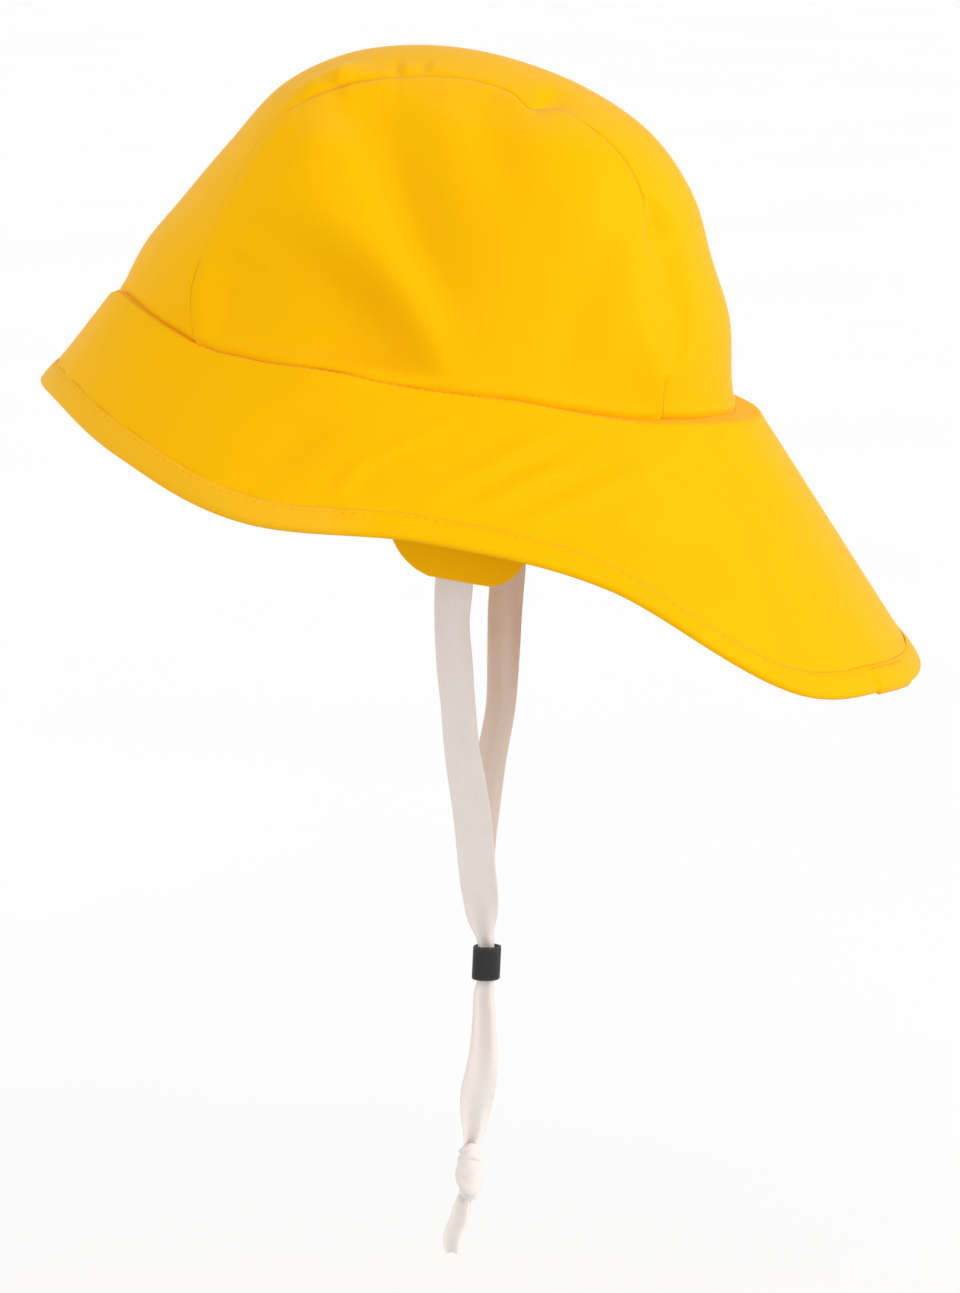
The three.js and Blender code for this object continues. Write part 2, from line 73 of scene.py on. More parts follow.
camera_data = bpy.data.cameras.new("camera")
camera_data.sensor_fit = "HORIZONTAL"
camera_data.sensor_width = sensor
camera_data.lens = sensor * view_distance / (photo_width * pixel)
camera = bpy.data.objects.new("camera", camera_data)
bpy.context.scene.collection.objects.link(camera)
axes = np.column_stack([view_right, view_up, view_back, aim + view_distance * view_back])
camera.matrix_world = Matrix([*axes.tolist(), [0, 0, 0, 1]])
bpy.context.scene.camera = camera
print("lens", round(camera_data.lens, 1), "mm")

# %% [markdown]
# ## Smooth curves through short tables
#
# A tailor's pattern is a few measured points and a smooth line through them. The same is done here:
# a table has named columns, and `through` draws a smooth curve through one of them. The plain model
# was made from the same tables, so what is made here lies where its solids lie.

# %% Tables and smooth curves
def table(names, rows):
    """Columns by name: the rows of numbers, turned on their side."""
    return dict(zip(names.split(), np.array(rows, float).T))


def rows_of(columns):
    """The rows of a table again, one after the other."""
    return zip(*columns.values())


def through(stations, values, level_ends=False):
    """Smooth function through the rows of a column: between two rows, the cubic that has each row's value
    and slope. A row's slope is the mean of the slopes beside it, each weighted by the other's length."""
    stations, values = np.asarray(stations, float), np.asarray(values, float)
    step = np.diff(stations)
    rise = np.diff(values) / step
    slope = np.zeros_like(values)
    slope[1:-1] = (rise[:-1] * step[1:] + rise[1:] * step[:-1]) / (step[1:] + step[:-1])
    if not level_ends:
        slope[0], slope[-1] = rise[0], rise[-1]

    def at(place):
        i = np.clip(np.searchsorted(stations, place) - 1, 0, len(step) - 1)
        s = (place - stations[i]) / step[i]
        share = s * s * (3 - 2 * s)
        bend = step[i] * s * (1 - s) * (slope[i] * (1 - s) - slope[i + 1] * s)
        return values[i] * (1 - share) + values[i + 1] * share + bend

    return at


def smoothstep(low, high, value):
    """Goes from 0 at low to 1 at high: t squared times (3 - 2 t), where t is the share of the way."""
    t = np.clip((value - low) / (high - low), 0, 1)
    return t * t * (3 - 2 * t)


def bump(offset, width):
    """Bell of height 1: e to the minus square of the offset over the width."""
    return np.exp(-((offset / width) ** 2))


def unit(vectors):
    """Vectors of length 1: each over the root of the sum of its squares."""
    return vectors / np.maximum(np.linalg.norm(vectors, axis=-1, keepdims=True), 1e-12)


def points_at(x, y, z):
    """Points from their three coordinates. Each may be a grid, a row, a column or one number."""
    return np.stack(np.broadcast_arrays(x, y, z), -1)


def full_turn(count):
    """Even turns once round, without the last, which would be the first again."""
    return np.linspace(0, 2 * np.pi, count, endpoint=False)


hat_tip = np.radians(10)


def tipped(points):
    """Turns the hat about X, so that its front rises: y cos + z sin, and z cos - y sin."""
    x, y, z = np.moveaxis(points, -1, 0)
    cosine, sine = np.cos(hat_tip), np.sin(hat_tip)
    return points_at(x, y * cosine + z * sine, z * cosine - y * sine)


print("tipped point:", tipped(np.array([0.0, 1.0, 0.0])).round(3))

# %% [markdown]
# ## From a grid to a sheet of cloth
#
# Cloth has a thickness and a soft edge, and both show at every seam. Blender's Solidify could
# thicken a flat grid, but its rim is square. Here the two faces of the sheet are drawn together
# towards every open edge, along a quarter circle, so the edge comes out round and the mesh closed.

# %% Grids and shells
edge_shares = np.array([0, 0.06, 0.25, 0.58])


def spaced(length, step, first, last):
    """Stations from 0 to 1 along a length: even steps, with a few short ones in the rounding of each edge."""
    inner = np.linspace(first / length, 1 - last / length, max(3, int(round(length / step))))
    return np.concatenate([edge_shares * first / length, inner, 1 - edge_shares[::-1] * last / length])


def across_grid(grid, axis, ringed):
    """Difference of each point's two neighbours along an axis of the grid."""
    if ringed:
        return np.roll(grid, -1, axis) - np.roll(grid, 1, axis)
    return np.gradient(grid, axis=axis)


def grid_normals(grid, inside, ringed=False):
    """Unit normals: the cross product of the two differences, turned away from the point inside."""
    normals = unit(np.cross(across_grid(grid, 0, ringed), across_grid(grid, 1, False)))
    side = np.sign(np.sum(normals * (grid - np.asarray(inside))))
    return normals * side, side


def run_length(grid, axis=0):
    """Length along an axis of the grid from its start: the running sum of the steps between neighbours."""
    steps = np.linalg.norm(np.diff(grid, axis=axis), axis=-1)
    start = np.zeros_like(np.take(steps, [0], axis))
    return np.concatenate([start, np.cumsum(steps, axis=axis)], axis=axis)


def cell_corners(lines):
    """The four corners of each cell of a grid of numbers or of points, in order round the cell."""
    corners = [lines[:-1, :-1], lines[1:, :-1], lines[1:, 1:], lines[:-1, 1:]]
    return np.stack(corners, 2).reshape(-1, 4, *lines.shape[2:])


def edge_share(grid, roundings, ringed):
    """How far each point is through the rounding of its nearest open edge, 0 at the edge and 1 past it:
    the length along the grid's lines over that edge's rounding. Roundings: two sides, two ends."""
    rows = run_length(grid, 1)
    share = np.minimum(rows / roundings[2], (rows[:, -1:] - rows) / roundings[3])
    if not ringed:
        columns = run_length(grid, 0)
        share = np.minimum(share, np.minimum(columns / roundings[0], (columns[-1:] - columns) / roundings[1]))
    return np.clip(share, 0, 1)


def make_mesh(name, parts, *finishes):
    """Mesh object from its parts: points, four-sided faces, a finish number for each face and a place on the
    cloth for each corner, in metres. A face whose number has no finish takes the last one."""
    points, faces, slots, corners_uv = parts
    mesh = bpy.data.meshes.new(name)
    mesh.from_pydata(points.tolist(), [], faces.tolist())
    layer = mesh.uv_layers.new(name="cloth")
    layer.data.foreach_set("uv", corners_uv.astype(np.float32).ravel())
    mesh.polygons.foreach_set("material_index", np.minimum(slots, len(finishes) - 1).astype(np.int32))
    mesh.polygons.foreach_set("use_smooth", np.ones(len(faces), bool))
    for finish in finishes:
        mesh.materials.append(finish)
    mesh.update()
    piece = bpy.data.objects.new(name, mesh)
    bpy.context.scene.collection.objects.link(piece)
    return piece


def shell_parts(face, wall, roundings, inside, ringed=False):
    """Points, faces, finish numbers and cloth places of a closed sheet under an outer face.
    The top moves along the normal by lift - half, the bottom by -lift - half, where half is half the wall
    and lift is half times the root of 1 - (1 - n) squared, n the share of the way through the rounding."""
    normals, side = grid_normals(face, inside, ringed)
    half = wall / 2
    near = edge_share(face, roundings, ringed)
    lift = (half * np.sqrt(1 - (1 - near) ** 2))[..., None]
    top = face + normals * (lift - half)
    bottom = face + normals * (-lift - half)
    columns, rows = face.shape[:2]
    upper = np.arange(columns * rows).reshape(columns, rows)
    lower = upper + columns * rows
    lower[:, [0, -1]] = upper[:, [0, -1]]
    if ringed:
        face, upper, lower = (np.concatenate([layer, layer[:1]]) for layer in (face, upper, lower))
    else:
        lower[[0, -1]] = upper[[0, -1]]
    cloth = cell_corners(np.stack([run_length(face, 0), run_length(face, 1)], -1))
    faces = np.concatenate([cell_corners(upper), cell_corners(lower)[:, ::-1]])
    uv = np.concatenate([cloth, cloth[:, ::-1]])
    if side < 0:
        faces, uv = faces[:, ::-1], uv[:, ::-1]
    slots = np.repeat([0, 1], len(cloth))
    points = np.concatenate([top.reshape(-1, 3), bottom.reshape(-1, 3)])
    used, packed = np.unique(faces, return_inverse=True)
    return points[used], packed.reshape(faces.shape), slots, uv


def faced_out(points, faces, uv):
    """One-finish shell, with all faces turned round if it is inside out: if the sum, over all triangles, of a
    corner times the cross product of the other two is negative. That sum is six times the volume."""
    first, second, third, fourth = np.moveaxis(points[faces], 1, 0)
    if np.sum(first * (np.cross(second, third) + np.cross(third, fourth))) < 0:
        faces, uv = faces[:, ::-1], uv[:, ::-1]
    return points, faces, np.zeros(len(faces), int), uv


def joined(parts):
    """Several closed shells as one: their points one after the other, and their faces counted on."""
    starts = np.cumsum([0] + [len(part[0]) for part in parts[:-1]])
    points, faces, slots, uv = zip(*parts)
    faces = [piece + start for piece, start in zip(faces, starts)]
    return tuple(np.concatenate(column) for column in (points, faces, slots, uv))


def dress(piece, slot_name, *nodes):
    """Puts a finished piece in the place of plain nodes: it rides on the hat. The finish's name, slot_name,
    is not used.
    """
    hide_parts(*nodes)
    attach(piece, "root")
    print(piece.name, "stands for", ", ".join(nodes), "with", len(piece.data.polygons), "faces")
    return piece


print("stations of a 20 mm edge:", len(spaced(20 * mm, 2 * mm, 0.7 * mm, 0.7 * mm)))

# %% [markdown]
# ## Shader maths as plain expressions
#
# A procedural finish is a graph of small nodes. Wrapping a socket in a class with +, - and * lets
# the graph be written as a formula, which is shorter and easier to read than a list of links.

# %% Sockets that can be added and multiplied
class Wire:
    """An output socket in a finish. Each operator adds one Math node."""

    def __init__(self, finish, socket):
        self.finish, self.socket = finish, socket

    def maths(self, operation, *values):
        return self.finish.node("ShaderNodeMath", {"operation": operation}, dict(enumerate(values)))

    def __add__(self, other):
        return self.maths("ADD", self, other)

    def __sub__(self, other):
        return self.maths("SUBTRACT", self, other)

    def __rsub__(self, other):
        return self.maths("SUBTRACT", other, self)

    def __mul__(self, other):
        return self.maths("MULTIPLY", self, other)

    def __truediv__(self, other):
        return self.maths("DIVIDE", self, other)

    def __pow__(self, other):
        return self.maths("POWER", self, other)

    __radd__, __rmul__ = __add__, __mul__

    def sine(self):
        return self.maths("SINE", self)

    def size(self):
        return self.maths("ABSOLUTE", self)

    def at_least(self, limit):
        return self.maths("MAXIMUM", self, limit)

    def at_most(self, limit):
        return self.maths("MINIMUM", self, limit)


class Finish:
    """A material with one Principled shader, and ways to add nodes to it."""

    def __init__(self, name, **constants):
        self.material = bpy.data.materials.new(name)
        self.material.use_nodes = True
        self.tree = self.material.node_tree
        self.shader = self.tree.nodes["Principled BSDF"]
        for socket, value in constants.items():
            self.shader.inputs[socket.replace("_", " ")].default_value = value

    def node(self, kind, settings=None, values=None, output=0):
        """Any node: its settings are set first, then each socket gets its value or link."""
        made = self.tree.nodes.new(kind)
        for key, value in (settings or {}).items():
            setattr(made, key, value)
        for key, value in (values or {}).items():
            if isinstance(value, Wire):
                self.tree.links.new(value.socket, made.inputs[key])
            else:
                made.inputs[key].default_value = value
        return Wire(self, made.outputs[output])

    def place(self, scale=(1, 1, 1), turn=(0, 0, 0), on_cloth=False):
        """Where a point lies, scaled and turned: in the hat, or on the cloth's own map, both in metres."""
        if on_cloth:
            source = self.node("ShaderNodeUVMap", {"uv_map": "cloth"})
        else:
            source = self.node("ShaderNodeTexCoord", output="Object")
        return self.node("ShaderNodeMapping", values={"Vector": source, "Scale": scale, "Rotation": turn})

    def parts(self, vector):
        """The three numbers of a vector, each on its own wire."""
        split = self.node("ShaderNodeSeparateXYZ", values={"Vector": vector}).socket.node
        return [Wire(self, socket) for socket in split.outputs]

    def noise(self, where, scale, detail=2.0, roughness=0.5):
        """Soft random numbers from 0 to 1, about one swell for each 1 / scale of the place given."""
        values = {"Vector": where, "Scale": scale, "Detail": detail, "Roughness": roughness}
        return self.node("ShaderNodeTexNoise", {"noise_dimensions": "3D"}, values)

    def mix(self, share, first, second):
        """A colour between two, by a share from 0 to 1."""
        keys = {"Factor": share, 6: first, 7: second}
        return self.node("ShaderNodeMix", {"data_type": "RGBA"}, keys, output=2)

    def relief(self, height, distance, strength=1.0):
        """Tilts the surface as a relief of that height and depth in metres would."""
        values = {"Height": height, "Distance": distance, "Strength": strength}
        self.feed("Normal", self.node("ShaderNodeBump", values=values))

    def feed(self, socket, wire):
        self.tree.links.new(wire.socket, self.shader.inputs[socket])


print("shader kit ready")

# %% [markdown]
# ## Finishes
#
# The hat is cloth with a coat of soft plastic: even, satin, with a fine grain that only shows in
# the highlights, and slow swells where the cloth was creased in a packet. Its inner face is the
# bare knit that carries the coat, matt and a little paler. The tapes are a fine plain weave, the
# toggle moulded plastic with scuffed rims, and the thread a twisted cord in the hat's colour.

# %% Coated cloth
deep_yellow = (0.855, 0.435, 0.0, 1)
bright_yellow = (0.885, 0.462, 0.0005, 1)
# The third yellow is no colour of the cloth: it is a painted sheen with a little painted shade, duller and
# less red.
painted_sheen_yellow = (0.83, 0.445, 0.024, 1)


def coated_cloth(name, front_sheen_rate):
    """Two close yellows mixed by slow noise. Duller, a painted sheen with a little painted shade, where the
    crown's cloth faces up, by (normal z - 0.7) times 2.5 but no more than twelve times the height in metres,
    and towards the front, by minus y times the rate given but no more than a half. Fine grain and slow swells
    as relief; roughness by noise."""
    cloth = Finish(name, IOR=1.45, Specular_IOR_Level=0.03, Sheen_Weight=0.09, Sheen_Roughness=0.3)
    where = cloth.place()
    slow = cloth.noise(where, 18, detail=3)
    grain = cloth.noise(where, 1500, detail=2, roughness=0.6)
    pores = cloth.node("ShaderNodeTexVoronoi", {"feature": "SMOOTH_F1"}, {"Vector": where, "Scale": 900})
    swells = cloth.noise(cloth.place(scale=(1, 0.6, 1), turn=(0.5, 0.2, 0)), 70, detail=2)
    _, _, upward = cloth.parts(cloth.node("ShaderNodeNewGeometry", output="Normal"))
    _, ahead, height = cloth.parts(where)
    # Painted sheen with a little painted shade: towards the front, and where the crown's cloth faces up.
    wear_and_painted_sheen = (ahead * -front_sheen_rate).at_most(0.5)
    painted_sheen_share = ((upward - 0.7) * 2.5).at_most(height * 12.0).at_least(wear_and_painted_sheen)
    cloth.feed("Base Color", cloth.mix(painted_sheen_share, cloth.mix(slow, deep_yellow, bright_yellow), painted_sheen_yellow))
    cloth.feed("Roughness", 0.44 + 0.1 * slow + 0.06 * grain)
    cloth.relief(0.1 * grain + 0.07 * pores + 0.9 * swells, 0.45 * mm, 0.5)
    return cloth.material


outer_cloth = coated_cloth("coated_cloth", 0.0)
# The binding is painted duller towards the front: a painted sheen with a little painted shade.
binding_cloth = coated_cloth("binding_cloth", 28.0)
print("made", outer_cloth.name, "and", binding_cloth.name)

# %% Knitted backing
backing_yellow = (0.9, 0.46, 0.03, 1)
backing_shade = (0.78, 0.36, 0.01, 1)
knit_pitch = 0.9 * mm


def knitted_backing():
    """Rows of small loops: the sine of the place across, with its phase bent by the sine along."""
    knit = Finish("knitted_backing", Roughness=0.9, Sheen_Weight=0.2, Sheen_Roughness=0.5)
    across, along_cloth, _ = knit.parts(knit.place(scale=(2 * np.pi / knit_pitch,) * 3, on_cloth=True))
    loops = (across + 1.2 * (along_cloth * 1.3).sine()).sine() * 0.5 + 0.5
    fuzz = knit.noise(knit.place(), 600, detail=3)
    knit.feed("Base Color", knit.mix(0.7 * loops + 0.3 * fuzz, backing_shade, backing_yellow))
    knit.relief(loops + 0.4 * fuzz, 0.12 * mm, 0.7)
    return knit.material


inner_cloth = knitted_backing()
print("made", inner_cloth.name)

# %% Woven tape
tape_light = (0.82, 0.757, 0.714, 1)
tape_shade = (0.69, 0.62, 0.577, 1)
warp_pitch = 0.75 * mm
weft_pitch = 0.55 * mm


def woven_tape():
    """Plain weave: the product of a sine across and a sine along, so over and under take turns like the
    fields of a chessboard. Slow noise is the soil and fine noise the fuzz. More than 0.2 m below the seat the
    colour is painted lighter: painted light, as the tape above lies in the brim's shade."""
    tape = Finish("woven_tape", Roughness=0.88, Sheen_Weight=0.25, Sheen_Roughness=0.5)
    along_tape, across, _ = tape.parts(tape.place(on_cloth=True))
    warp = (across * (2 * np.pi / warp_pitch)).sine()
    weft = (along_tape * (2 * np.pi / weft_pitch)).sine()
    weave = warp * weft * 0.5 + 0.5
    ribs = warp * 0.5 + 0.5
    soil = tape.noise(tape.place(), 90, detail=3)
    fuzz = tape.noise(tape.place(), 1100, detail=2)
    _, _, height = tape.parts(tape.place())
    # Painted light: lighter towards the bottom, where the tape hangs clear of the brim's shade.
    painted_light_below = (height * -5 - 1.0).at_least(0)
    tape.feed("Base Color", tape.mix(0.45 * weave + 0.35 * soil + 0.3 * ribs + painted_light_below, tape_shade, tape_light))
    tape.relief(0.6 * weave + 0.5 * ribs + 0.4 * fuzz, 0.13 * mm, 0.8)
    return tape.material


tape_cloth = woven_tape()
print("made", tape_cloth.name)

# %% Moulded plastic
plastic_dark = (0.010, 0.010, 0.0105, 1)
plastic_scuffed = (0.06, 0.056, 0.055, 1)
toggle_middle = -212 * mm
toggle_height = 11.8 * mm


def moulded_plastic():
    """Dark grey with a fine spark grain. The rims, told by their height, are scuffed where noise is high."""
    plastic = Finish("moulded_plastic", IOR=1.5, Specular_IOR_Level=0.28)
    where = plastic.place()
    _, _, height = plastic.parts(where)
    rim = ((height - toggle_middle).size() / (toggle_height / 2)) ** 12
    scratches = plastic.noise(plastic.place(scale=(1, 1, 0.15)), 2500, detail=3)
    scuffs = plastic.noise(where, 700, detail=4, roughness=0.7)
    wear_and_painted_sheen = (rim * scuffs * 1.3 + 0.2 * scuffs + 0.1 * scratches).at_most(1.0)
    grain = plastic.noise(where, 4000, detail=2)
    plastic.feed("Base Color", plastic.mix(wear_and_painted_sheen, plastic_dark, plastic_scuffed))
    plastic.feed("Roughness", 0.42 + 0.2 * scuffs)
    plastic.relief(grain + 0.5 * scratches, 0.04 * mm, 0.6)
    return plastic.material


toggle_plastic = moulded_plastic()
print("made", toggle_plastic.name)

# %% Sewing thread
thread_light = (0.86, 0.42, 0.001, 1)
thread_shade = (0.76, 0.34, 0.0, 1)
twist_pitch = 0.5 * mm


def sewing_thread():
    """Twisted thread: the sine of the place along it plus the place round it, as stripes and relief."""
    thread = Finish("sewing_thread", Roughness=0.8, Specular_IOR_Level=0.1)
    along_thread, round_thread, _ = thread.parts(thread.place(on_cloth=True))
    twist = ((along_thread + round_thread) * (2 * np.pi / twist_pitch)).sine() * 0.5 + 0.5
    fuzz = thread.noise(thread.place(), 2000, detail=2)
    thread.feed("Base Color", thread.mix(0.7 * twist + 0.3 * fuzz, thread_shade, thread_light))
    thread.relief(twist, 0.08 * mm, 0.8)
    return thread.material


yellow_thread = sewing_thread()
print("made", yellow_thread.name)

# %% [markdown]
# ## Chin tapes
#
# Two flat woven tapes, each sewn to an ear flap, run down through a toggle to a shared knot. A tape
# is a strip carried along a route: at each station it lies across the route, facing the wearer's
# left and right. Where it is drawn together it can't get narrower, so it folds into pleats. The
# pleats of both tapes have the same phase, so the tapes nest and never cut each other.

# %% Routes of the tapes
tape_width = 12.5 * mm
tape_wall = 0.8 * mm
tape_edges = (tape_wall / 2,) * 4
route_names = "x y z width"
left_route = table(route_names, [
    [70.0, 18.2, -57.5, 1.0],
    [69.0, 18.2, -62.0, 1.0],
    [67.9, 18.1, -66.5, 1.0],
    [66.4, 17.6, -71.5, 1.0],
    [61.2, 16.4, -82.0, 0.94],
    [54.2, 16.3, -96.3, 0.98],
    [46.1, 16.5, -112.7, 0.96],
    [38.2, 16.8, -129.0, 0.98],
    [30.1, 18.0, -145.3, 1.04],
    [22.0, 18.9, -161.8, 1.04],
    [15.2, 19.2, -176.0, 1.02],
    [9.3, 19.6, -187.6, 0.98],
    [5.0, 19.8, -196.4, 0.8],
    [2.4, 20.2, -202.0, 0.52],
    [0.8, 20.7, -207.0, 0.46],
    [0.8, 20.5, -215.0, 0.44],
    [0.8, 19.7, -224.0, 0.58],
    [0.8, 19.9, -233.0, 0.69],
    [0.8, 19.7, -243.0, 0.8],
    [0.8, 18.9, -251.5, 0.92],
    [0.8, 17.7, -258.0, 0.97],
    [0.8, 16.8, -265.0, 0.86],
    [0.8, 16.5, -272.0, 0.66],
    [0.8, 15.6, -278.4, 0.42],
])
right_route = table(route_names, [
    [-69.8, 20.6, -57.5, 1.0],
    [-68.8, 20.6, -62.0, 1.0],
    [-67.7, 20.7, -66.5, 1.0],
    [-66.4, 20.8, -71.5, 1.0],
    [-61.2, 20.8, -82.0, 1.0],
    [-54.2, 20.6, -96.3, 0.98],
    [-46.1, 20.9, -112.7, 0.93],
    [-38.2, 20.9, -129.0, 0.86],
    [-30.1, 18.7, -145.3, 0.87],
    [-22.0, 16.7, -161.8, 0.95],
    [-15.2, 15.5, -176.0, 1.0],
    [-9.3, 16.4, -187.6, 0.94],
    [-5.0, 18.6, -196.4, 0.72],
    [-2.4, 20.0, -202.0, 0.48],
    [-0.8, 20.7, -207.0, 0.42],
    [-0.8, 20.5, -215.0, 0.42],
    [-0.8, 19.9, -224.0, 0.54],
    [-0.8, 20.1, -233.0, 0.62],
    [-0.8, 19.5, -243.0, 0.74],
    [-0.8, 18.6, -251.5, 0.84],
    [-0.8, 17.3, -258.0, 0.88],
    [-0.8, 16.6, -265.0, 0.8],
    [-0.8, 16.3, -272.0, 0.62],
    [-0.8, 15.5, -278.4, 0.41],
])


def route_points(route):
    """The middle line's points, in metres."""
    return points_at(route["x"], route["y"], route["z"]) * mm


def route_length(route):
    """Length of the middle line."""
    return float(run_length(route_points(route))[-1])


print("tape lengths", [round(route_length(route), 4) for route in (left_route, right_route)])

# %% Tape surfaces
pleat_room = 0.5 * mm
pleat_most = 1.2 * mm
toggle_reach = 12 * mm
far_right = (-1, 0, 0)


def tape_face(route, step, pleats=1.5, cup=0.35 * mm):
    """Strip along a route: middle + across * width * v + normal * (cup + pleats). Across is +Y made square to
    the route. A pleat's depth grows as the root of 1 - width squared, because the cloth keeps its length."""
    points = route_points(route)
    stations = run_length(points)
    length = stations[-1]
    u = (spaced(length, step, *tape_edges[:2]) * length)[:, None]
    v = spaced(tape_width, 0.5 * mm, *tape_edges[2:])[None, :] - 0.5
    middle = np.stack([through(stations, column)(u[:, 0]) for column in points.T], -1)
    share = through(stations, route["width"])(u)
    ahead = unit(np.gradient(middle, u[:, 0], axis=0))
    sideways = unit(np.array([0, 1.0, 0]) - ahead * ahead[:, 1:2])
    face_way = np.cross(sideways, ahead)
    gathered = np.sqrt(np.clip(1 - share**2, 0, 1))
    in_toggle = bump(middle[:, 2:3] - toggle_middle, toggle_reach)
    depth = gathered * (pleat_most * (1 - in_toggle) + pleat_room * in_toggle)
    sway = 0.5 * np.sin(u / (17 * mm))
    wave = np.cos(2 * np.pi * pleats * v + 0.9 + sway) * depth
    belly = cup * (1 - 4 * v**2) * np.cos(u / (21 * mm))
    edge = 0.25 * mm * np.sin(u / (6.1 * mm)) * (2 * v) ** 3
    lifted = (wave + belly * (1 - gathered) + edge * (1 - gathered))[..., None]
    across = sideways[:, None] * (share * tape_width * v)[..., None]
    return middle[:, None] + across + face_way[:, None] * lifted


def chin_tape(node, route):
    """One tape as a closed strip that stands for its plain node."""
    parts = shell_parts(tape_face(route, 1.0 * mm), tape_wall, tape_edges, far_right)
    return dress(make_mesh(node + "_weave", parts, tape_cloth), "woven_tape", node)


left_tape = chin_tape("chin_tape_left", left_route)
right_tape = chin_tape("chin_tape_right", right_route)

# %% [markdown]
# ## Toggle
#
# A short barrel of moulded plastic that slides on both tapes. It is a profile spun round and then
# squeezed to an oval, with rounded rims. Spinning is done here by multiplying the profile's radius
# with the cosine and sine of the turn.

# %% Toggle
toggle_along = 20.6 * mm
toggle_half_length = 5.0 * mm
toggle_half_width = 4.4 * mm
hole_half_length = 3.6 * mm
hole_half_width = 2.4 * mm
rim_round = 0.5 * mm


def rounded_ring(inner, outer, half, bend, steps=6):
    """Closed outline of a tube's wall, as share outwards and height: four quarter circles of radius bend."""
    turns = np.linspace(0, np.pi / 2, steps)
    centres = [(inner + bend, -half + bend, np.pi), (outer - bend, -half + bend, 1.5 * np.pi),
               (outer - bend, half - bend, 0.0), (inner + bend, half - bend, 0.5 * np.pi)]
    corners = [np.stack([cx + bend * np.cos(turns + start), cz + bend * np.sin(turns + start)], -1)
               for cx, cz, start in centres]
    return np.concatenate(corners)


def barrel(sides=72):
    """Oval tube: the outline's radius gives an oval between the hole and the outside. The flanks are a little
    flat, by a small cosine of four times the turn, and the top dips by its square across."""
    outline = rounded_ring(hole_half_length, toggle_half_length, toggle_height / 2, rim_round)
    radius, height = outline[:, 0][None], outline[:, 1][None]
    turn = full_turn(sides)[:, None]
    share = (radius - hole_half_length) / (toggle_half_length - hole_half_length)
    half_width = hole_half_width + share * (toggle_half_width - hole_half_width)
    flat = 1 - 0.025 * np.clip(share, 0, 1) * np.cos(4 * turn)
    arch = 0.12 * mm * np.cos(turn) ** 2 * np.sign(height) * (np.abs(height) / (toggle_height / 2)) ** 4
    x = half_width * np.sin(turn) * flat
    y = radius * np.cos(turn) * flat + toggle_along + 0.045 * height
    z = height - arch + toggle_middle
    return points_at(x, y, z)


def torus_parts(grid):
    """Points, faces, finish numbers and cloth places of a grid that closes on itself both ways."""
    columns, rows = grid.shape[:2]
    index = np.pad(np.arange(columns * rows).reshape(columns, rows), ((0, 1), (0, 1)), "wrap")
    closed = np.pad(grid, ((0, 1), (0, 1), (0, 0)), "wrap")
    cloth = np.stack([run_length(closed, 0), run_length(closed, 1)], -1)
    return faced_out(grid.reshape(-1, 3), cell_corners(index), cell_corners(cloth))


toggle_mesh = make_mesh("toggle_barrel", torus_parts(barrel()), toggle_plastic)
toggle = dress(toggle_mesh, "toggle_plastic", "cord_toggle")

# %% [markdown]
# ## Knot and folded end
#
# Below the toggle both tapes are tied in one overhand knot. What shows of a tight knot is a round
# bundle with flat strands lying over it at a slant, so it is built that way: a core, and four
# loops of flat tape round it. Under it the two ends hang side by side.

# %% Knot
knot_foot = np.array([0, 14.8, -278.7]) * mm
knot_height = 18.4 * mm
knot_half_length = 4.7 * mm
knot_half_width = 4.2 * mm
loop_names = "height tilt roll width length thick phase"
knot_loops = table(loop_names, [
    [0.04, 16, 6, 3.4, 1.62, 1.2, 1.2],
    [0.24, 36, 10, 5.2, 1.02, 1.4, 0.4],
    [0.53, -38, -14, 6.6, 1.04, 1.6, 2.1],
    [0.80, 26, 16, 4.6, 1.02, 1.4, 3.9],
])
knot_girth = table("share half", [
    [0, 0.5],
    [0.1, 0.74],
    [0.3, 0.86],
    [0.6, 0.86],
    [0.82, 0.74],
    [0.94, 0.54],
    [1, 0.42],
])


def knot_core(sides=40, rows=44):
    """Bundle: an oval whose half axes follow a smooth curve through a few rows of the share down it, with two
    slanting grooves, the cosine of twice the turn plus nine times the share."""
    share = np.linspace(0.03, 0.99, rows)[None, :]
    turn = full_turn(sides)[:, None]
    girth = through(knot_girth["share"], knot_girth["half"])(share)
    swell = girth * (1 + 0.1 * np.cos(2 * turn + 9 * share))
    x = knot_half_width * swell * np.cos(turn)
    y = knot_half_length * swell * np.sin(turn)
    z = -knot_height * share
    return points_at(x, y, z) + knot_foot


def capped_parts(grid):
    """A grid that is ringed along its first axis and shut at both ends of the second. An end is closed by a
    row of four-sided faces from one half of its ring to the other."""
    columns, rows = grid.shape[:2]
    index = np.arange(columns * rows).reshape(columns, rows)
    body = cell_corners(np.concatenate([index, index[:1]]))
    half = np.arange(columns // 2 - 1)
    rungs = np.stack([half, half + 1, columns - 2 - half, columns - 1 - half], -1)
    faces = np.concatenate([body, index[rungs, 0][:, ::-1], index[rungs, -1]])
    points = grid.reshape(-1, 3)
    closed = np.concatenate([grid, grid[:1]])
    cloth = np.stack([run_length(closed, 1), run_length(closed, 0)], -1)
    ends = points[faces[len(body):]][..., 1:]
    return faced_out(points, faces, np.concatenate([cell_corners(cloth), ends]))


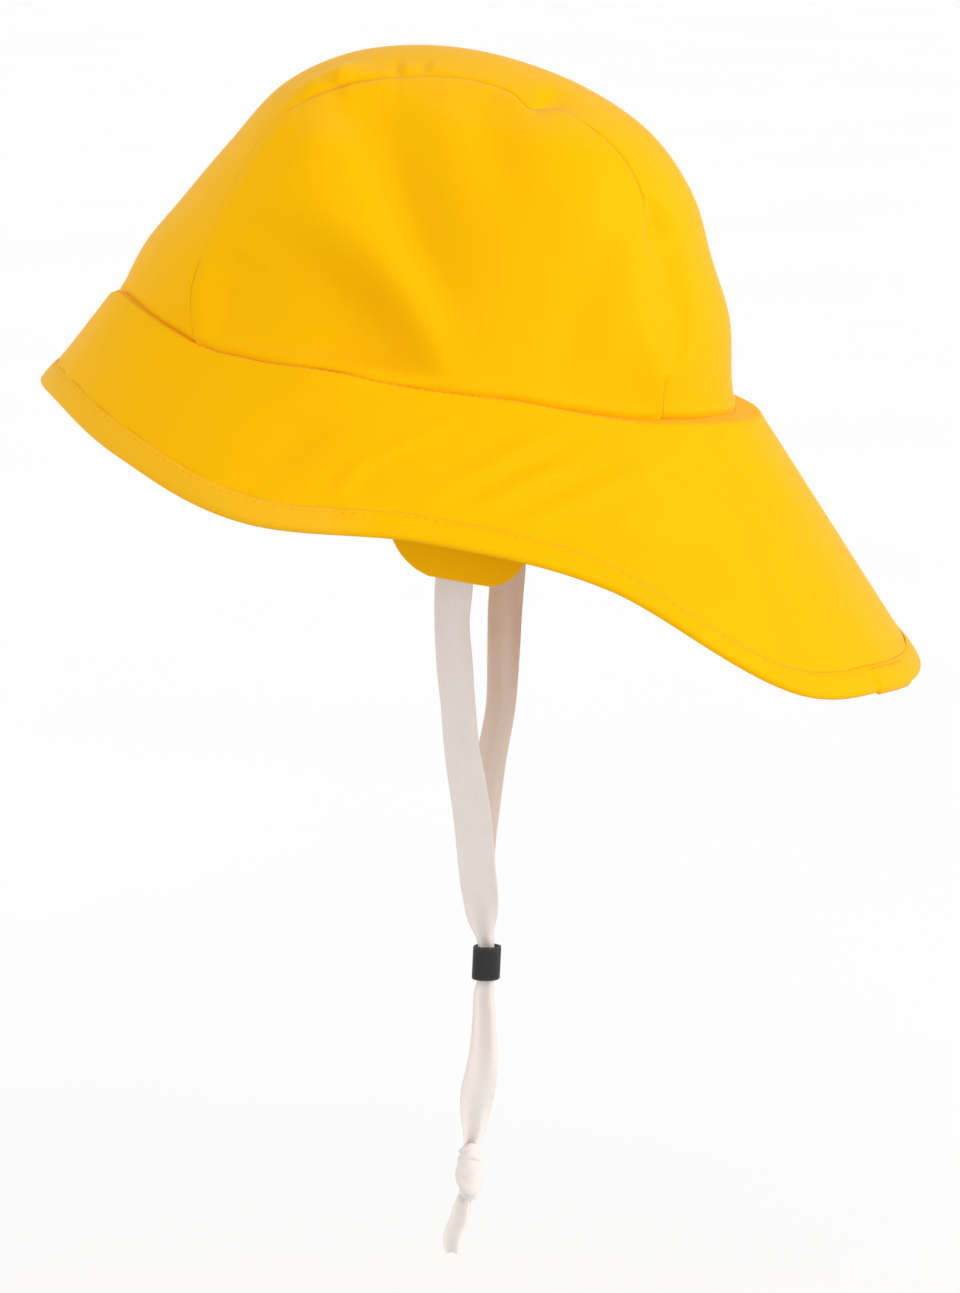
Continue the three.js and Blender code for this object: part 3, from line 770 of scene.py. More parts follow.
def strand_loop(height, tilt, roll, width, length, thick, phase, sides=64, section=18):
    """Flat strand round the knot: a tilted oval of stations, each with a flat rounded section of that width
    and thickness, standing square to the oval. The strand widens and sinks by slow sines of the turn."""
    turn = full_turn(sides)[:, None]
    around = full_turn(section)[None, :]
    out = np.concatenate([np.cos(turn), np.sin(turn), 0 * turn], -1)
    swell = np.sin(np.pi * height) ** 0.35
    half_axes = np.array([knot_half_width, knot_half_length, 0]) * length * swell
    wide = 0.5 * width * mm * (1 + 0.16 * np.sin(2 * turn + phase))
    flat = 0.5 * thick * mm
    radial = flat * np.sign(np.cos(around)) * np.abs(np.cos(around)) ** 0.7 - flat * 0.9
    rise = wide * np.sin(around)
    ripple = 0.28 * mm * np.cos(3 * rise / wide + phase + turn)
    curl = -0.35 * (rise / wide) ** 2 * wide
    slant = np.tan(np.radians(tilt)) * np.cos(turn) + np.tan(np.radians(roll)) * np.sin(turn)
    level = (half_axes * out)[:, None]
    side = unit(out / np.array([knot_half_width, knot_half_length, 1]))[:, None]
    ring = level + side * (radial + curl + ripple)[..., None]
    ring[..., 2] += rise + slant * knot_half_length * 0.9 - knot_height * height
    return ring + knot_foot


loop_parts = [torus_parts(strand_loop(*row)) for row in rows_of(knot_loops)]
knot_parts = joined([capped_parts(knot_core()), *loop_parts])
knot = dress(make_mesh("knot_wraps", knot_parts, tape_cloth), "woven_tape", "tape_knot")

# %% Folded end
end_foot = np.array([0, 14.8, -297.4])
end_length = 19.0
end_route = table(route_names, [
    [0, -1.8, 1.6, 0.34],
    [0, -2.3, -1.0, 0.4],
    [0, -2.9, -4.0, 0.47],
    [0, -3.8, -7.4, 0.5],
    [0, -5.2, -10.9, 0.5],
    [0, -5.9, -14.3, 0.5],
    [0, -5.8, -17.2, 0.44],
    [0, -5.7, -19.0, 0.34],
])
end_layers = table("aside drop ahead", [
    [0.75, 0.0, 0.0],
    [-0.75, 1.5, 0.45],
])


def end_strip(aside, drop, ahead):
    """One folded tape end: the route moved aside, shorter by the drop, with the fold along its middle."""
    moved = {
        "x": end_route["x"] + aside + end_foot[0],
        "y": end_route["y"] + ahead + end_foot[1],
        "z": end_route["z"] * (1 - drop / end_length) + end_foot[2],
        "width": end_route["width"],
    }
    face = tape_face(moved, 0.6 * mm, pleats=1.0)
    return shell_parts(face, tape_wall, tape_edges, far_right)


end_parts = joined([end_strip(*row) for row in rows_of(end_layers)])
tape_end = dress(make_mesh("folded_end", end_parts, tape_cloth), "woven_tape", "tape_end")

tapes = ((left_tape, left_route, [toggle, knot, tape_end]), (right_tape, right_route, []))
for piece, route, carried in tapes:
    points = route_points(route)
    route_length(route)

# %% [markdown]
# ## Crown
#
# The crown is a long centre band from the front over the top to the back, and a D-shaped panel on
# each side. The band's middle line comes from a table, and so does the seam beside it. A side
# panel hangs between its seam and the oval where the head goes in, as a curve with two handles.

# %% Crown sizes and tables
seat_half_length = 107 * mm
seat_half_width = 83 * mm
crown_depth = 104 * mm
crown_wall = 1.4 * mm
seam_gap = 0.3 * mm
crown_line = table("along up half_width draw", [
    [-1.0, 0.0, 0.755, 0.656],
    [-0.936, 0.202, 0.71, 0.745],
    [-0.858, 0.342, 0.665, 0.795],
    [-0.73, 0.565, 0.575, 0.87],
    [-0.583, 0.792, 0.455, 0.913],
    [-0.404, 0.918, 0.38, 0.918],
    [-0.22, 0.978, 0.335, 0.92],
    [-0.03, 1.0, 0.32, 0.93],
    [0.165, 0.986, 0.335, 0.935],
    [0.366, 0.938, 0.37, 0.945],
    [0.596, 0.821, 0.43, 0.932],
    [0.75, 0.654, 0.5, 0.89],
    [0.838, 0.472, 0.55, 0.865],
    [0.928, 0.29, 0.59, 0.845],
    [0.975, 0.08, 0.59, 0.823],
    [1.0, 0.0, 0.59, 0.8074],
])
mid_along = crown_line["along"] * seat_half_length
mid_up = crown_line["up"] * crown_depth
crown_run = run_length(np.stack([mid_along, mid_up], -1))
crown_length = crown_run[-1]
crown_stations = crown_run / crown_length
along_at = through(crown_stations, mid_along)
up_at = through(crown_stations, mid_up)
seam_half_at = through(crown_stations, crown_line["half_width"] * seat_half_width)
seam_draw_at = through(crown_stations, crown_line["draw"])
print("length over the crown", round(crown_length / mm), "mm")

# %% Crown surfaces
panel_lean = np.tan(np.radians(14))
seam_handle = 0.36
seat_handle = 0.42
inset_share = 0.95
front_corner = np.arcsin(crown_line["half_width"][0])
back_corner = np.pi - np.arcsin(crown_line["half_width"][-1])


def band_point(place, across):
    """Outer face of the band: sideways by the seam's half width times across; along and up are drawn in by
    the root of 1 - (1 - draw squared) times across squared, an arc of an ellipse."""
    share = np.sqrt(1 - (1 - seam_draw_at(place) ** 2) * across**2)
    return points_at(seam_half_at(place) * across, along_at(place) * share, up_at(place) * share)


def seat_point(turn):
    """The oval where the head goes in: half width times sine, half length times minus cosine."""
    return points_at(seat_half_width * np.sin(turn), -seat_half_length * np.cos(turn), 0)


def seat_out(turn):
    """Level direction square to the oval."""
    return unit(points_at(np.sin(turn) / seat_half_width, -np.cos(turn) / seat_half_length, 0))


def panel_point(place, down):
    """Outer face of a side panel: the cubic curve from seam to seat whose handles follow the band's side and
    lean in over the seat."""
    seam = band_point(place, np.ones_like(place))
    turn = front_corner + (back_corner - front_corner) * place
    seat = seat_point(turn)
    span = np.linalg.norm(seam - seat, axis=-1, keepdims=True)
    near_seam = unit(seam - band_point(place, np.full_like(place, inset_share))) * span * seam_handle
    upward = unit(np.array([0, 0, 1.0]) - panel_lean * seat_out(turn)) * span * seat_handle
    t = down[..., None]
    return ((1 - t) ** 3 * seam + 3 * t * (1 - t) ** 2 * (seam + near_seam)
            + 3 * t * t * (1 - t) * (seat + upward) + t**3 * seat)


print("top of the crown", (band_point(np.array(0.5), np.array(0.0)) / mm).round(1), "mm")

# %% [markdown]
# ## Folds, tucks and seams
#
# A coated hat keeps every dent it got in its packet, and its curved seams are eased together, so
# they pucker. A fold is a long bell laid on the surface at an angle. The seams get three things:
# the edge rolls in, the cloth beside it swells, and short ripples run out square to the seam.

# %% Folds of the near panel
fold_names = "y z turn length upper lower bow depth"
crown_folds = table(fold_names, [
    [-9.5, 11.5, -40, 58, 8.5, 26, -0.0045, -7.0],
    [-36, 28.5, -25, 62, 10, 22, -0.0045, -4.4],
    [-64, 13, 4, 44, 16, 7, 0, -3.8],
    [-3, 33, -42, 76, 7, 8, -0.008, 1.8],
    [-11, 61, -50, 84, 12, 9, -0.003, -5.6],
    [15, 80, -52, 44, 8, 6, 0, -1.5],
    [66, 40, 82, 60, 7, 8, 0, 1.6],
    [57, 35, 82, 60, 9, 9, 0, -1.4],
    [48, 30, 55, 50, 8, 10, 0, -0.7],
    [-64, 40, 80, 46, 10, 10, 0, 1.0],
    [-60, 52, 66, 60, 5, 5, 0, -1.2],
    [-66, 31, 10, 18, 3, 3, 0, 0.5],
    [-60, 28, -25, 16, 3, 3, 0, -0.35],
    [-71, 36, 60, 13, 2.5, 2.5, 0, 0.5],
])


def skewed(offset, upper, lower):
    """Offset over a width that goes smoothly from the lower to the upper one: mean + half their difference
    times the hyperbolic tangent of offset over mean."""
    mean = (upper + lower) / 2
    return offset / (mean + (upper - lower) / 2 * np.tanh(offset / mean))


def long_bells(ahead, up, folds):
    """Sum of long bells in millimetres. In a frame turned by the fold's angle, t runs along it and s across,
    measured from a spine that bends by bow times t squared. A bell is depth times e to the minus
    (2 t / length) squared + (s / width) squared, and its width differs on its two sides."""
    angle = np.radians(folds["turn"])
    t = ahead * np.cos(angle) + up * np.sin(angle)
    s = up * np.cos(angle) - ahead * np.sin(angle) - folds["bow"] * t**2
    side = skewed(s, folds["upper"], folds["lower"])
    return np.sum(folds["depth"] * np.exp(-((2 * t / folds["length"]) ** 2) - side**2), -1)


print("folds on the near panel:", len(crown_folds["turn"]))

# %% Relief beside a seam
seam_line = table("place roll pucker lap", [
    [0.0, 0.3, 0.0, -0.03],
    [0.1, 0.3, 0.1, -0.03],
    [0.115, 0.02, 0.3, 0.3],
    [0.28, 0.02, 0.4, 0.3],
    [0.3, 0.3, 0.9, -0.03],
    [0.36, 0.55, 1.0, -0.03],
    [0.42, 0.4, 0.9, -0.03],
    [0.5, 0.3, 0.5, -0.03],
    [0.57, 0.45, 0.6, -0.03],
    [0.62, 0.4, 0.5, -0.03],
    [0.745, 0.45, 0.7, -0.03],
    [0.765, 0.02, 0.9, 0.3],
    [0.935, 0.02, 0.7, 0.3],
    [0.955, 0.4, 0.5, -0.03],
    [1.0, 0.4, 0.2, -0.03],
])
ripples = table("length phase share", [
    [7.3, 0.0, 0.45],
    [11.9, 1.1, 0.6],
    [19.0, 2.3, 0.5],
    [4.1, 0.7, 0.3],
])
roll_width = 0.8 * mm
swell_height = 0.3 * mm
pucker_height = 0.26 * mm
pucker_reach = 6 * mm


def ripple(run):
    """Sum of sines of a few lengths along the seam, none of which repeats with another."""
    waves = np.sin(2 * np.pi * run[..., None] / (ripples["length"] * mm) + ripples["phase"])
    return np.sum(waves * ripples["share"], -1)


def seam_relief(place, distance, shift):
    """Height beside a seam: minus a narrow bell at the seam, plus a wide low one, plus ripples that fade."""
    roll = np.interp(place, seam_line["place"], seam_line["roll"] * mm)
    pucker = np.interp(place, seam_line["place"], seam_line["pucker"])
    run = place * crown_length + shift
    edge = -roll * bump(distance, roll_width) + swell_height * (roll / mm) * bump(distance - 3 * mm, 2.4 * mm)
    fade = np.exp(-distance / pucker_reach) * (1 - bump(distance, 1.0 * mm))
    return edge + pucker_height * pucker * ripple(run) * fade


tucks = table("place reach before after length height side", [
    [0.327, 7.0, 8.0, 8.0, 6.0, 2.0, 1],
    [0.350, 5.0, 3.0, 1.3, 5.5, -1.6, 1],
    [0.354, 6.5, 1.5, 10.0, 6.5, 2.9, 1],
    [0.353, 3.0, 9.0, 2.6, 5.0, -0.7, -1],
    [0.421, 4.5, 2.5, 1.2, 4.0, -0.8, 1],
    [0.425, 5.5, 1.2, 4.5, 4.0, 0.8, 1],
    [0.452, 4.5, 2.5, 1.2, 4.0, -0.7, 1],
    [0.456, 5.5, 1.2, 4.5, 4.0, 0.6, 1],
    [0.592, 4.5, 3.0, 9.0, 8.0, -2.6, 1],
    [0.585, 4.0, 3.0, 5.0, 7.0, -0.8, -1],
    [0.560, 3.5, 7.0, 4.0, 6.0, 0.7, -1],
    [0.778, 4.0, 3.5, 6.0, 5.0, -1.6, 1],
    [0.800, 8.5, 4.0, 4.0, 4.0, 0.8, 1],
    [0.850, 2.5, 3.0, 3.0, 3.0, -0.6, 1],
    [0.880, 5.0, 5.0, 4.0, 3.0, 0.4, 1],
])
welt = {"place": 0.84, "span": 0.1, "inner": 12.0, "outer": 10.0, "rise": 8.0, "depth": 3.7}
stitch_pitch = 3.3 * mm


def tuck_relief(place, distance, side):
    """Tucks beside the near seam: a bell along the seam, wider before it than after it, times a bell away."""
    rows = {key: value[tucks["side"] == side] for key, value in tucks.items()}
    run = (place[..., None] - rows["place"]) * crown_length / mm
    away = distance[..., None] / mm - rows["reach"]
    along_bell = np.exp(-(skewed(run, rows["after"], rows["before"]) ** 2))
    height = np.sum(rows["height"] * along_bell * bump(away, rows["length"]), -1)
    return height * mm * smoothstep(0, 1.2 * mm, distance)


def welt_relief(place, distance, past_seam):
    """The flat welt over the back of the near seam. It sinks evenly from the panel to a crease on the band,
    rises again beyond it, and narrows towards its ends by the root of 1 - share of its length squared."""
    share = np.clip((place - welt["place"]) / welt["span"], -1, 1)
    room = np.sqrt(1 - share**2) + 1e-3
    across = distance / mm / room * (1 if past_seam else -1)
    sunk = np.clip((across + welt["inner"]) / (welt["inner"] + welt["outer"]), 0, 1) ** 1.3
    back = 1 - np.clip((across - welt["outer"]) / welt["rise"], 0, 1)
    return -welt["depth"] * mm * room * sunk * back


def base_relief(run, distance, ease=1.0):
    """Height beside the seam round the base: the edge rolls in, swells above, and each stitch pulls a dimple.
    Ease, from 0 to 1, keeps the dimples out of the narrow corners."""
    roll = -0.45 * mm * bump(distance, 1.1 * mm) + 0.35 * mm * bump(distance - 2.6 * mm, 1.8 * mm)
    dimples = 0.07 * mm * np.sin(2 * np.pi * run / stitch_pitch) * np.exp(-distance / (2.2 * mm))
    slow = 0.25 * mm * np.sin(2 * np.pi * run / (31 * mm) + 0.6) * np.exp(-distance / (9 * mm))
    return roll + (dimples + slow) * ease


print("tucks", len(tucks["place"]))

# %% [markdown]
# The base seam isn't a true oval either: on the near side it rises towards the front and sinks beside
# it. Crown and brim both follow, so this is a bend of space, a shift of every point that depends on
# where the point is. The two deep pinches of the near crown seam are bends of space too.

# %% Bends of space
seam_sag = table("turn sag", [
    [0, 0.0],
    [8, -1.4],
    [15, -3.4],
    [20, -4.4],
    [25, -3.9],
    [30, -3.0],
    [35, -1.9],
    [40, -0.5],
    [45, 0.9],
    [50, 2.4],
    [55, 3.0],
    [60, 2.7],
    [65, 2.4],
    [70, 1.6],
    [75, 0.7],
    [80, 0.2],
    [90, 0.5],
    [100, -0.1],
    [105, -0.6],
    [112, -1.0],
    [120, -0.4],
    [130, 0.4],
    [137, 0.7],
    [145, 0.0],
    [155, -0.4],
    [163, -0.8],
    [180, 0.0],
])
sag_at = through(seam_sag["turn"], seam_sag["sag"] * mm)
sag_reach = 17 * mm
pinches = table("place down inwards radius", [
    [0.574, 4.6, 1.4, 6.0],
    [0.778, 0.6, 1.0, 5.0],
])
pinch_aim = 0.06


def bend_base(points):
    """Lowers points near the base seam by the sag at their turn times e to the minus height squared."""
    x, y, z = np.moveaxis(points, -1, 0)
    turn = np.degrees(np.arctan2(np.maximum(x, 0) / seat_half_width, -y / seat_half_length))
    drop = np.where(x > 0, sag_at(turn), 0) * bump(z, sag_reach)
    return points_at(x, y, z - drop)


def bend_pinches(points):
    """Moves points near each pinch down the panel and inwards, by a bell of their distance from it."""
    for place, down, inwards, radius in rows_of(pinches):
        centre = band_point(np.array(place), np.array(1.0))
        ahead = unit(panel_point(np.array(place), np.array(pinch_aim)) - centre)
        weight = bump(np.linalg.norm(points - centre, axis=-1), radius * mm)[..., None]
        points = points + weight * (ahead * down - unit(centre) * inwards) * mm
    return points


print("most sag", seam_sag["sag"].max(), "mm, least", seam_sag["sag"].min(), "mm")

# %% Centre band of the crown
seam_rounding = 0.07 * mm
base_rounding = 0.35 * mm
band_width = 90 * mm
band_end_fade = 10 * mm
far_lap = 0.3
far_lap_from, far_lap_full = 0.945, 0.96
head_middle = (0, 0, 0)


def raised(face, height):
    """Moves each point of a face along its normal, away from the middle of the head, by a height."""
    normals, _ = grid_normals(face, head_middle)
    return face + normals * height[..., None]


def crown_band(step=0.95 * mm):
    """Band from seam to seam, with its relief measured from the seams and from the two ends at the base. It
    ends a hair short of the seam, or laps over it where the seam doesn't show."""
    place = spaced(crown_length, step, base_rounding, base_rounding)[:, None]
    across = (2 * spaced(band_width, step, seam_rounding, seam_rounding) - 1)[None, :]
    place, across = np.broadcast_arrays(place, across)
    lap = np.interp(place, seam_line["place"], seam_line["lap"])
    lap_behind = far_lap * smoothstep(far_lap_from, far_lap_full, place)
    lap = np.where(across < 0, np.maximum(lap, lap_behind), lap)
    edge = 1 + lap * mm / seam_half_at(place)
    face = band_point(place, across * edge)
    sideways = run_length(face, 1)
    left, right = sideways[:, -1:] - sideways, sideways
    lengthwise = run_length(face, 0)
    ends = np.minimum(lengthwise, lengthwise[-1:] - lengthwise)
    height = seam_relief(place, left, 0) + seam_relief(place, right, 7 * mm)
    height = height + tuck_relief(place, left, 1) + welt_relief(place, left, True)
    height = height * smoothstep(0, band_end_fade, ends) + base_relief(sideways, ends)
    return bend_base(bend_pinches(raised(face, height)))


def cloth_piece(node, parts):
    """A shell of coated cloth that stands for its plain node."""
    return dress(make_mesh(node + "_cloth", parts, outer_cloth, inner_cloth), "coated_cloth", node)


band_edges = (base_rounding, base_rounding, seam_rounding, seam_rounding)
cloth_piece("crown_band", shell_parts(tipped(crown_band()), crown_wall, band_edges, head_middle))

# %% Side panels of the crown
corner_blunt = 0.004
seam_fade = 15 * mm
base_fade = 8 * mm
panel_drop = 125 * mm
narrow_fade = 12 * mm
dimples_from, dimples_full = 15 * mm, 40 * mm
side_edges = (seam_rounding, seam_rounding, seam_rounding, base_rounding)
far_folds = table(fold_names, [
    [11, 68, -60, 52, 14, 14, 0, -1.3],
    [-37, 42, -50, 52, 16, 16, 0, -1.1],
    [43, 36, 70, 46, 14, 14, 0, 1.1],
])


def crown_side(folds, near, step=1.2 * mm):
    """Side panel from its seam to the seat. Folds push it out from the middle of the head and fade out near
    both edges."""
    place = spaced(crown_length, step, seam_rounding, seam_rounding)[:, None]
    place = corner_blunt + (1 - 2 * corner_blunt) * place
    down = spaced(panel_drop, step, seam_rounding, base_rounding)[None, :]
    place, down = np.broadcast_arrays(place, down)
    face = panel_point(place, down)
    away = run_length(face, 1)
    total = away[:, -1:]
    push = long_bells(face[..., 1:2] / mm - folds["y"], face[..., 2:3] / mm - folds["z"], folds) * mm
    fade = smoothstep(0, seam_fade, away) * smoothstep(0, base_fade, total - away)
    face = face + unit(face) * (push * fade)[..., None]
    room = smoothstep(0, narrow_fade, total)
    ease = smoothstep(dimples_from, dimples_full, total)
    height = (seam_relief(place, away, 0) + base_relief(run_length(face, 0), total - away, ease)) * room
    if near:
        height = height + (tuck_relief(place, away, -1) + welt_relief(place, away, False)) * room
        return bend_base(bend_pinches(raised(face, height)))
    return raised(face, height)


def mirrored(parts):
    """The same shell on the other side: x changes its sign, and each face is taken the other way round."""
    points, faces, slots, uv = parts
    return points * np.array([-1.0, 1, 1]), faces[:, ::-1], slots, uv[:, ::-1]


near_side = tipped(crown_side(crown_folds, True))
far_side = tipped(crown_side(far_folds, False))
cloth_piece("crown_side_left", shell_parts(near_side, crown_wall, side_edges, head_middle))
cloth_piece("crown_side_right", mirrored(shell_parts(far_side, crown_wall, side_edges, head_middle)))

# %% [markdown]
# ## Brim
#
# The brim is one flared ring. It starts under the crown's wall on a small ledge, bends over and
# slopes down, short in front and long over the neck. A point of it is told by its turn round the
# oval, its reach down the slope and its lift off the face, so the binding can use the same formula.

# %% Brim sizes and tables
brim_wall = 1.8 * mm
front_brim = 37 * mm
side_brim = 58 * mm
neck_flap = 101 * mm
ledge_most = 8.5 * mm
brim_bend = 3 * mm
binding_width = 8 * mm
brim_line = table("turn slope front side back ledge", [
    [0, 61, 1.0, 0.0, 0.0, 0.3],
    [25, 59, 1.0, 0.0, 0.0, 0.25],
    [50, 55, 0.45, 0.53, 0.0, 0.18],
    [75, 51, 0.0, 1.03, 0.0, 0.3],
    [100, 48.5, 0.0, 0.955, 0.0, 0.2],
    [125, 47.5, 0.0, 0.45, 0.375, 0.4],
    [150, 47.5, 0.0, 0.0, 0.985, 0.8],
    [165, 47.5, 0.0, 0.0, 0.99, 1.0],
    [180, 47.5, 0.0, 0.0, 1.0, 1.0],
])
brim_turns = np.radians(brim_line["turn"])
slope_at = through(brim_turns, np.radians(brim_line["slope"]), True)
ledge_at = through(brim_turns, brim_line["ledge"] * ledge_most, True)
length_at = through(brim_turns, brim_line["front"] * front_brim + brim_line["side"] * side_brim
                    + brim_line["back"] * neck_flap, True)
brim_folds = table("turn_at reach turn length upper lower bow depth", [
    [77, 24, -72, 44, 7, 20, 0, -1.9],
    [90, 43, -70, 15, 4, 4, 0, -0.5],
    [87.6, 38, -76, 20, 2.2, 2.6, 0, 0.75],
    [93.5, 23, -45, 26, 2.2, 2.6, 0, 0.65],
    [108.5, 24, -43, 46, 3.0, 3.4, 0, 1.0],
    [111.0, 28, -42, 40, 3.0, 3.0, 0, -0.5],
    [113.5, 30, -40, 42, 3.2, 3.4, 0, 1.0],
    [118.0, 32, -38, 40, 3.4, 3.4, 0, -0.5],
    [122.0, 33, -36, 52, 3.4, 3.8, 0, 1.0],
    [140, 44, -60, 54, 15, 15, 0, -1.8],
    [149, 22, 23, 60, 5, 6, 0, -1.0],
    [141, 37, 46, 46, 7, 7, 0, 0.9],
    [127, 45, 10, 16, 5, 4, 0, -0.7],
])
fold_fade = 8 * mm
brim_spread = 0.6
brim_gap = -0.15 * mm  # below zero: the crown's foot stands that far into the ledge, and no light gets in
print("brim from", round(front_brim / mm), "to", round(neck_flap / mm), "mm long")


# %% Brim surface
def brim_fold(turn, reach):
    """Height of the soft folds on the near side: long bells in the map of length round and reach down."""
    radius = seat_half_width + reach[..., None] * brim_spread
    along_brim = (turn[..., None] - np.radians(brim_folds["turn_at"])) * radius
    out = reach[..., None] / mm - brim_folds["reach"]
    return long_bells(along_brim / mm, out, brim_folds) * mm


def from_front(turn):
    """The turn from the front, the shorter way round, so that both sides are alike."""
    return np.minimum(turn, 2 * np.pi - turn)


def brim_point(turn, reach, lift):
    """A point of the brim. Out: ledge + reach cos slope + lift sin lean. Down: reach sin slope - lift cos
    lean. The lean goes from level on the ledge to the slope over the bend."""
    half_turn = from_front(turn)
    slope = slope_at(half_turn)
    lean = slope * np.clip(reach / brim_bend + 0.5, 0, 1)
    room = np.minimum(reach, length_at(half_turn) - binding_width - reach) / fold_fade
    fold = np.where(turn <= np.pi, brim_fold(half_turn, reach) * smoothstep(0, 1, room), 0)
    away = np.maximum(reach, 0)
    rise = lift + fold
    level = ledge_at(half_turn) + np.minimum(reach, 0) + away * np.cos(slope) + rise * np.sin(lean)
    height = -brim_gap - away * np.sin(slope) + rise * np.cos(lean)
    point = seat_point(turn) + seat_out(turn) * level[..., None]
    return points_at(point[..., 0], point[..., 1], height)


base_radius = 118 * mm
hem_radius = 150 * mm


def swells(run, length, phase, distance, fade):
    """A sine of the run, of that wave length, which fades as e to the minus distance over fade."""
    return np.sin(2 * np.pi * run / length + phase) * np.exp(-np.maximum(distance, 0) / fade)


def brim_relief(turn, reach, end):
    """Small relief of the brim: dimples of the base seam's stitches, of the binding's, and slow swells."""
    from_hem = end - binding_width - reach
    return mm * (0.1 * swells(turn * base_radius, stitch_pitch, 0, reach, 2.5 * mm)
                 + 0.09 * swells(turn * hem_radius, stitch_pitch, 0, from_hem, 2.5 * mm)
                 + 0.18 * swells(turn * base_radius, 23 * mm, 1.0, from_hem, 9 * mm))


ledge_rounding = 0.25 * mm
ledge_extra = 0.1 * mm
rows_drift = 1.15


def brim_face(columns=640, rows=56):
    """Grid of the brim from under the crown's wall to inside the binding."""
    turn = full_turn(columns)[:, None]
    half_turn = from_front(turn)
    end = length_at(half_turn)
    start = -ledge_at(half_turn) - crown_wall - ledge_extra
    rounding = start + edge_shares * ledge_rounding
    level = start + ledge_rounding
    ledge = np.concatenate([rounding, level * np.linspace(1, 0, 5, endpoint=False)], 1)
    down = np.linspace(0, 1, rows)[None, :] ** rows_drift * end
    reach = np.concatenate([ledge, down], 1)
    turn, end, reach = np.broadcast_arrays(turn, end, reach)
    return brim_point(turn, reach, brim_relief(turn, reach, end))


hem_rounding = 6 * mm
brim_edges = (0, 0, ledge_rounding, hem_rounding)
below_brim = (0, 0, -0.25)
cloth_piece("brim", shell_parts(tipped(bend_base(brim_face())), brim_wall, brim_edges, below_brim, True))

# %% [markdown]
# ## Binding
#
# The raw edge of the brim is wrapped in a folded strip and held by one line of stitches. The strip
# is a closed section carried round the hem. Its two ends lap at the back, where it is thicker.

# %% Binding
binding_wall = 0.9 * mm
binding_lap = 0.8 * mm
lap_start = np.radians(163)
lap_end = np.radians(172)
lap_step = np.radians(0.25)
stitch_inset = 1.7 * mm
hem_slim = 0.62
hem_tip = 0.5 * mm
slim_from, slim_full = np.radians(30), np.radians(60)


def binding_section(steps=9):
    """Outline of the folded strip as share inwards, side and push: it runs down the upper leg, round the edge
    and back up the lower leg, outside first and then inside. Round the edge it is a half circle."""
    turn = np.linspace(np.pi / 2, -np.pi / 2, steps)
    legs = np.linspace(1, 0, 8)
    rows = [(-share, 1.0, 1.0) for share in legs]
    rows += [(np.cos(t), np.sin(t), 1.0) for t in turn[1:-1]]
    rows += [(-share, -1.0, 1.0) for share in legs[::-1]]
    rows += [(-share, -1.0, 0.0) for share in legs]
    rows += [(-share, 1.0, 0.0) for share in legs[::-1]]
    return np.array(rows)


def lap_share(turn):
    """1 where the binding's ends lap and 0 elsewhere, with a short rise at both ends of the lap."""
    rise = smoothstep(lap_start - lap_step, lap_start, turn)
    return rise * (1 - smoothstep(lap_end, lap_end + lap_step, turn))


def binding_grid(columns=900):
    """Section carried round the hem. Outside points lie a wall off the brim's faces, and past the edge they
    follow a half oval; inside points lie on the brim. The lower leg draws close to the edge, except in front,
    so the hem looks thin. The lap adds its own wall between its two ends."""
    lap_turns = [lap_start - lap_step, lap_start, lap_end, lap_end + lap_step]
    turn = np.sort(np.concatenate([full_turn(columns), lap_turns]))[:, None]
    half_turn = from_front(turn)
    end = length_at(half_turn)
    inwards, side, push = (column[None, :] for column in binding_section().T)
    wall = binding_wall + binding_lap * lap_share(turn)
    half = brim_wall / 2
    round_edge = np.maximum(inwards, 0)
    to_stitches = -inwards * binding_width - binding_width + stitch_inset
    pucker = 0.06 * mm * np.sin(2 * np.pi * turn * hem_radius / stitch_pitch) * bump(to_stitches, 1.2 * mm)
    wave = 0.12 * mm * np.sin(turn * 61) * np.clip(-inwards, 0, 1)
    pinch = -0.12 * mm * bump(to_stitches, 0.9 * mm) * push
    tight = 1 - 0.85 * np.clip(-inwards, 0, 1) ** 4
    off_face = half + 0.06 * mm + (wall * tight + pinch + pucker) * push
    past_front = smoothstep(slim_from, slim_full, half_turn)
    near_edge = smoothstep(0.55, 1, 1 + np.minimum(inwards, 0)) * past_front
    off_face = off_face * np.where(side < 0, 1 - hem_slim * near_edge, 1)
    tip = half * 0.35 + (wall + hem_tip * near_edge) * push
    reach = end + np.where(inwards < 0, inwards * (binding_width + wave), round_edge * tip)
    return brim_point(turn * np.ones_like(reach), reach, side * off_face - half)


binding_mesh = make_mesh("binding_strip", torus_parts(tipped(binding_grid())), binding_cloth)
dress(binding_mesh, "coated_cloth", "brim_binding")

# %% [markdown]
# ## Stitches
#
# One line of lockstitch runs near the inner edge of the binding, on both faces. Each stitch is the
# same small bean, repeated hundreds of times, so it has only a few dozen faces. All of them are
# worked out at once: an array of places times an array of the bean's own points.

# %% Stitches
stitch_length = 2.3 * mm
stitch_radius = 0.17 * mm
stitch_lift = binding_wall * 0.57
stitch_dip = 0.3 * mm
last_ring = 0.97
small_step = 0.5 * mm


def even_places(path, pitch):
    """Length run at each point of a closed path, and stations a pitch apart along it."""
    run = run_length(np.concatenate([path, path[:1]]))
    count = int(round(run[-1] / pitch))
    return run, (np.arange(count) + 0.5) * run[-1] / count


